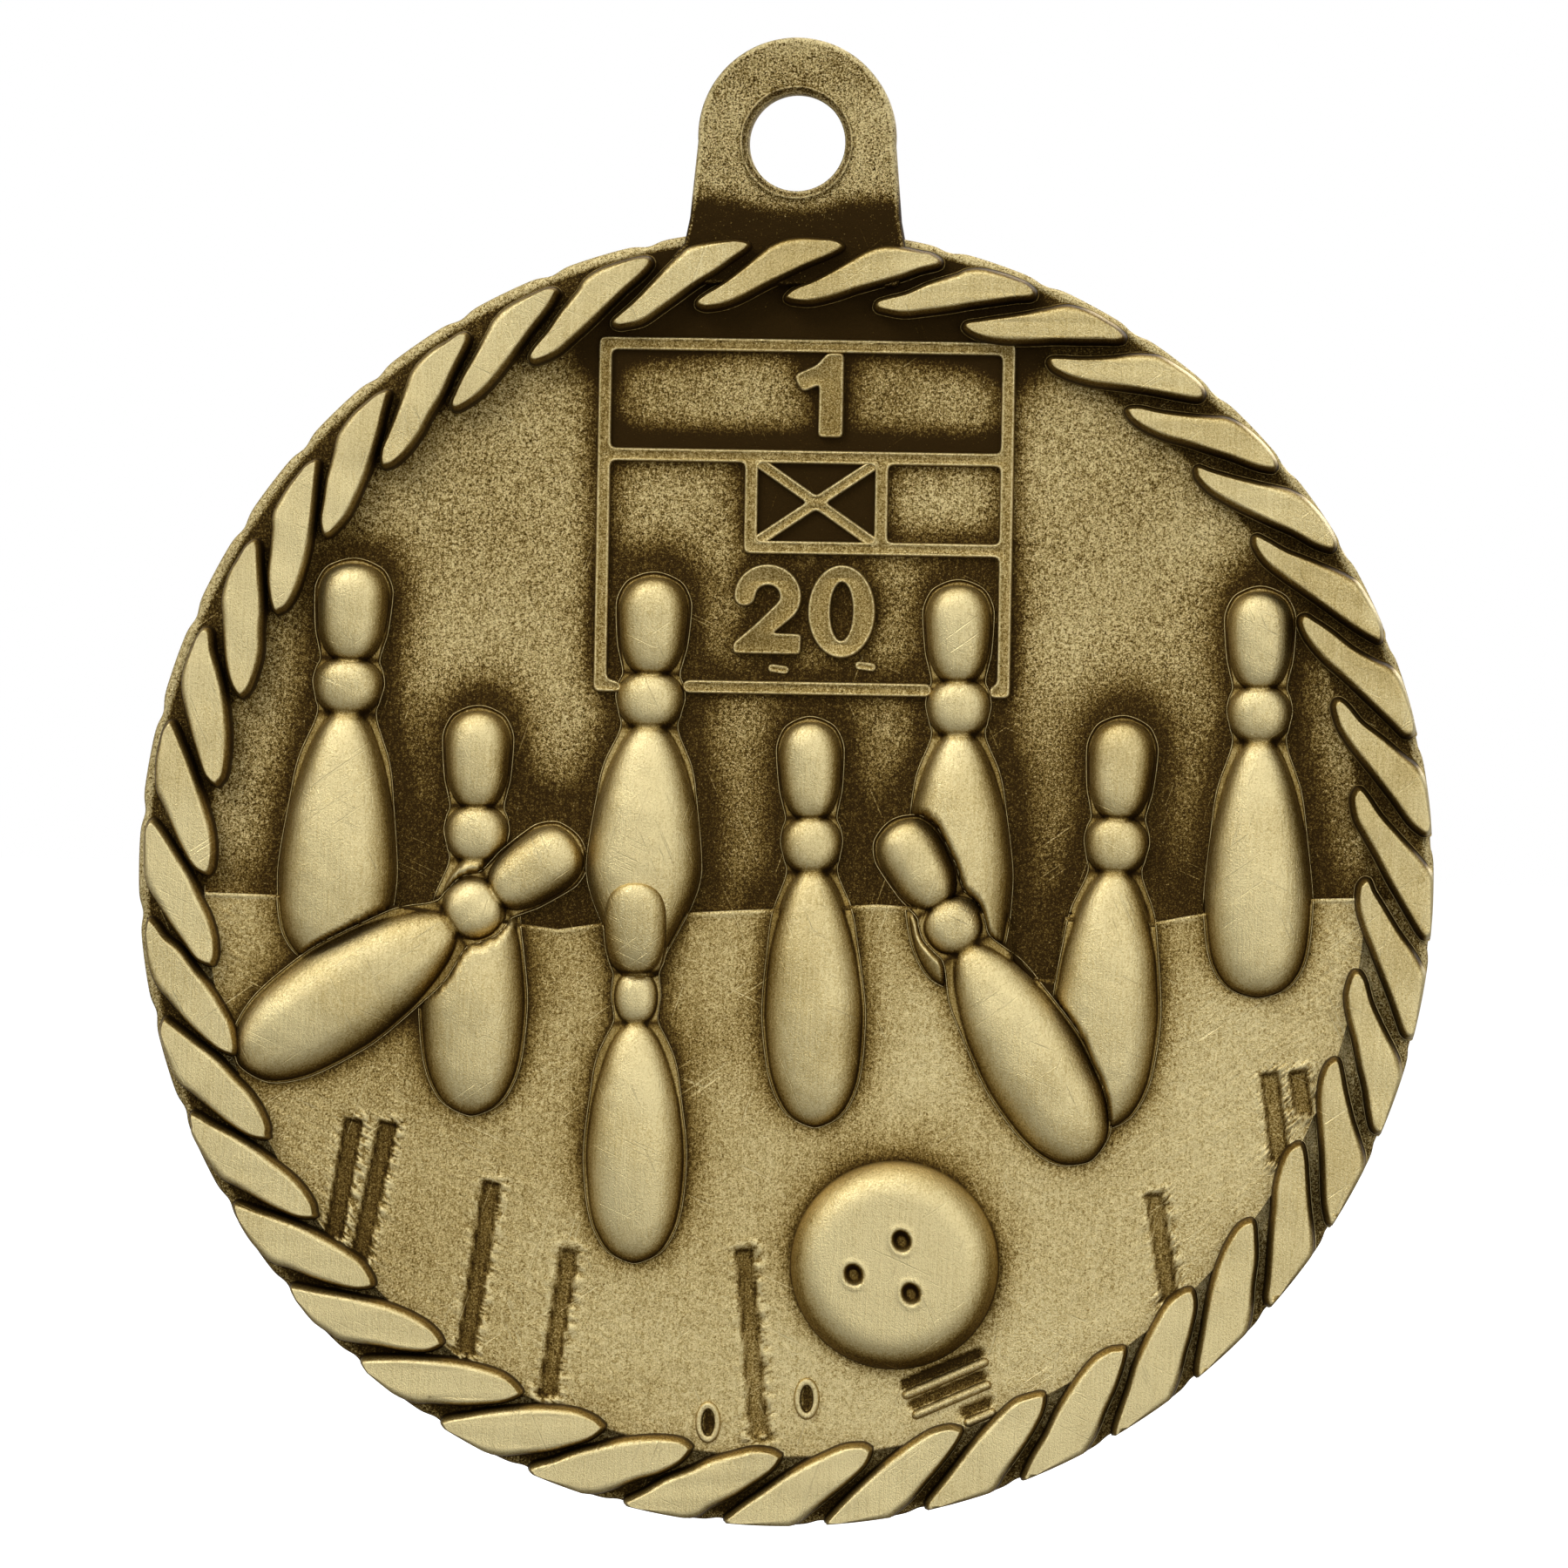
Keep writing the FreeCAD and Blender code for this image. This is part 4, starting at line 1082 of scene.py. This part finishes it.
class Nodes:
    """Short calls for building the node tree of one material or world."""

    def __init__(self, owner):
        owner.use_nodes = True
        self.tree = owner.node_tree

    def connect(self, node, **inputs):
        """Links or sets a node's inputs: by name, with _ for a space, or by number after a _."""
        for name, value in inputs.items():
            socket = node.inputs[int(name[1:])] if name[0] == "_" else node.inputs[name.replace("_", " ")]
            if isinstance(value, bpy.types.NodeSocket):
                self.tree.links.new(value, socket)
            else:
                socket.default_value = value

    def new(self, kind, settings=(), **inputs):
        node = self.tree.nodes.new("ShaderNode" + kind)
        for name, value in dict(settings).items():
            setattr(node, name, value)
        self.connect(node, **inputs)
        return node

    def math(self, operation, first, second=0.0, third=0.0, clamp=False):
        settings = {"operation": operation, "use_clamp": clamp}
        return self.new("Math", settings, _0=first, _1=second, _2=third).outputs[0]

    def times(self, first, second):
        return self.math("MULTIPLY", first, second)

    def plus(self, first, second):
        return self.math("ADD", first, second)

    def minus(self, first, second):
        return self.math("SUBTRACT", first, second)

    def noise(self, place, scale, detail, rough):
        node = self.new("TexNoise", Vector=place, Scale=scale, Detail=detail, Roughness=rough)
        return node.outputs["Fac"]

    def stretched(self, place, turn, scale):
        """The place turned first and then measured in features of these sizes, in metres."""
        settings = {"vector_type": "TEXTURE"}
        return self.new("Mapping", settings, Vector=place, Rotation=turn, Scale=scale).outputs[0]

    def map_range(self, value, low, high, to_low, to_high):
        node = self.new("MapRange", {"clamp": True}, _0=value, _1=low, _2=high, _3=to_low, _4=to_high)
        return node.outputs[0]

    def ramp(self, amount, stops):
        """A colour for each amount, from stops of position and colour."""
        node = self.new("ValToRGB", Fac=amount)
        elements = node.color_ramp.elements
        while len(elements) < len(stops):
            elements.new(0.5)
        for element, (position, colour) in zip(elements, stops):
            element.position = position
            element.color = colour
        return node.outputs[0]


GOLD = [
    (0.0, srgb(244, 226, 169)), (0.3, srgb(211, 188, 127)), (0.55, srgb(161, 135, 73)),
    (0.78, srgb(107, 83, 38)), (1.0, srgb(66, 49, 23)),
]
# The crossing sets of scratches: which way each runs, in radians, and how dense it is.
SCRATCHES = [(0.42, 1.0), (-0.62, 0.8), (1.15, 0.9), (1.9, 0.85)]


def antique_gold(name, grain, scratches, smoothest):
    """Plated metal from bright rubbed gold to dark patina and painted shade, with cast grain, brush marks
    and scratches.
    """
    material = bpy.data.materials.new(name)
    n = Nodes(material)
    place = n.new("TexCoord").outputs["Object"]
    # the patina values also carry painted shade on slopes and painted highlights
    patina_and_shade = n.new("Attribute", {"attribute_name": "patina_and_shade"}).outputs["Fac"]
    grit = n.new("Attribute", {"attribute_name": "grit"}).outputs["Fac"]
    cloud = n.noise(place, 420.0, 5.0, 0.62)
    speckle = n.noise(place, 11500.0, 3.0, 0.8)
    fine = n.minus(n.noise(place, 24000.0, 2.0, 0.6), 0.5)
    brushed = n.noise(n.stretched(place, (0, 0.03, 0), (0.00010, 0.00010, 0.003)), 1.0, 3.0, 0.7)
    scratch = None
    for turn, density in SCRATCHES:
        streaks = n.noise(n.stretched(place, (0, turn, 0), (0.0035, 0.0035, 0.00007)), density, 1.0, 0.3)
        patch = n.noise(n.stretched(place, (0, turn, 0.4), (1, 1, 1)), 330.0, 2.0, 0.5)
        mark = n.times(n.map_range(streaks, 0.71, 0.75, 0, 1), n.map_range(patch, 0.52, 0.6, 0, 1))
        scratch = mark if scratch is None else n.math("MAXIMUM", scratch, mark)
    grains = n.plus(n.minus(speckle, 0.5), n.times(fine, 0.7))
    grainy = n.times(n.times(grains, grain), grit)
    grainy = n.times(grainy, n.map_range(patina_and_shade, 0.5, 1.1, 1.0, 0.4))
    glints = n.map_range(n.noise(place, 15000.0, 1.0, 0.5), 0.66, 0.74, 0, 0.35)
    grainy = n.minus(grainy, n.times(glints, grit))
    cloudy = n.times(n.minus(cloud, 0.5), 0.22)
    streaky = n.times(n.minus(brushed, 0.5), 0.36)
    amount = n.plus(n.plus(patina_and_shade, cloudy), n.plus(grainy, streaky))
    amount = n.math("SUBTRACT", amount, n.times(scratch, scratches), clamp=True)
    rough = n.map_range(amount, 0.0, 1.0, smoothest, smoothest + 0.28)
    rough = n.math("ADD", rough, n.times(fine, 0.18), clamp=True)
    height = n.plus(n.times(grains, grit), n.times(brushed, 0.5))
    height = n.minus(height, n.times(scratch, 0.5))
    bump = n.new("Bump", Height=height, Strength=0.65, Distance=0.00005).outputs[0]
    shader = n.tree.nodes["Principled BSDF"]
    n.connect(shader, Base_Color=n.ramp(amount, GOLD), Metallic=1.0, Roughness=rough, Normal=bump)
    return material


# How much cast grain and scratching each finish shows, and its roughness where it is rubbed bright.
FINISHES = {
    "antique_gold_field": (2.5, 0.40, 0.40), "burnished_gold_relief": (1.5, 0.15, 0.34),
    "antique_gold_lines": (1.7, 0.1, 0.38),
}
MATERIALS = {name: antique_gold(name, *finish) for name, finish in FINISHES.items()}
for relief_piece, _ in relief:
    relief_piece.data.materials.append(MATERIALS[relief_piece["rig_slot"]])


# ---------------- studio
def floor_material():
    """Almost white, hardly mottled, and glowing a little."""
    material = bpy.data.materials.new("pale_floor")
    n = Nodes(material)
    soft = n.noise(n.new("TexCoord").outputs["Object"], 3.0, 2.0, 0.5)
    shade = n.ramp(soft, [(0.0, grey(0.882)), (1.0, grey(0.9))])
    shader = n.tree.nodes["Principled BSDF"]
    n.connect(shader, Base_Color=shade, Roughness=0.9, Emission_Color=grey(1), Emission_Strength=0.55)
    return material


def make_floor():
    """A wide pale sheet just below the medal."""
    half = 2.5
    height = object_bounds()[0][2] - 0.02
    corners = [(-half, -half, height), (half, -half, height), (half, half, height), (-half, half, height)]
    mesh = bpy.data.meshes.new("studio_floor")
    mesh.from_pydata(corners, [], [(0, 1, 2, 3)])
    mesh.materials.append(floor_material())
    floor = bpy.data.objects.new("studio_floor", mesh)
    bpy.context.collection.objects.link(floor)
    floor.visible_glossy = False


def make_world():
    """White to the eye, and a soft studio round the metal: bright above, dim below."""
    world = bpy.data.worlds.new("studio")
    bpy.context.scene.world = world
    n = Nodes(world)
    n.tree.nodes.clear()
    up = n.new("SeparateXYZ", _0=n.new("TexCoord").outputs["Generated"]).outputs["Z"]
    shade = n.ramp(n.math("MULTIPLY_ADD", up, 0.5, 0.5), [(0.0, grey(0.30)), (1.0, grey(1))])
    around = n.new("Background", Color=shade, Strength=0.65).outputs[0]
    seen = n.new("Background", Color=grey(1)).outputs[0]
    camera_ray = n.new("LightPath").outputs["Is Camera Ray"]
    mix = n.new("MixShader", _0=camera_ray, _1=around, _2=seen).outputs[0]
    n.new("OutputWorld", Surface=mix)


def add_softbox(name, place, size, power):
    light = bpy.data.lights.new(name, "AREA")
    light.shape = "DISK"
    light.size = size
    light.energy = power
    lamp = bpy.data.objects.new(name, light)
    bpy.context.collection.objects.link(lamp)
    lamp.location = place
    aim = Vector((0, 0, DISC_Z * MM)) - Vector(place)
    lamp.rotation_euler = aim.to_track_quat("-Z", "Y").to_euler()


def make_camera():
    """Almost square on to the face, a little to the right, leaning so that the medal leans 1 degree."""
    distance, frame_width, sensor = 0.45, 0.06146, 36
    yaw, pitch, lean = math.radians(2.6), math.radians(0.6), math.radians(1.0)
    aim = Vector((-0.00009, 0, -0.0251))
    back = Vector((math.sin(yaw) * math.cos(pitch), -math.cos(yaw) * math.cos(pitch), math.sin(pitch)))
    camera = bpy.data.objects.new("camera", bpy.data.cameras.new("camera"))
    camera.data.sensor_width = sensor
    camera.data.lens = sensor * distance / frame_width
    camera.data.clip_start = 0.01
    camera.data.clip_end = 20
    bpy.context.collection.objects.link(camera)
    turn = (-back).to_track_quat("-Z", "Y").to_matrix()
    camera.location = aim + back * distance
    camera.rotation_euler = (turn @ Matrix.Rotation(lean, 3, "Z")).to_euler()
    bpy.context.scene.camera = camera


make_floor()
make_world()
add_softbox("key_light", (-0.30, -0.42, 0.40), 0.30, 1.3)
add_softbox("front_fill", (0.25, -0.60, 0.05), 0.50, 0.7)
add_softbox("top_light", (0.05, -0.05, 0.55), 0.40, 0.6)
add_softbox("back_light", (0.20, 0.60, 0.30), 0.50, 1.2)
make_camera()
bpy.context.scene.view_settings.view_transform = "Standard"
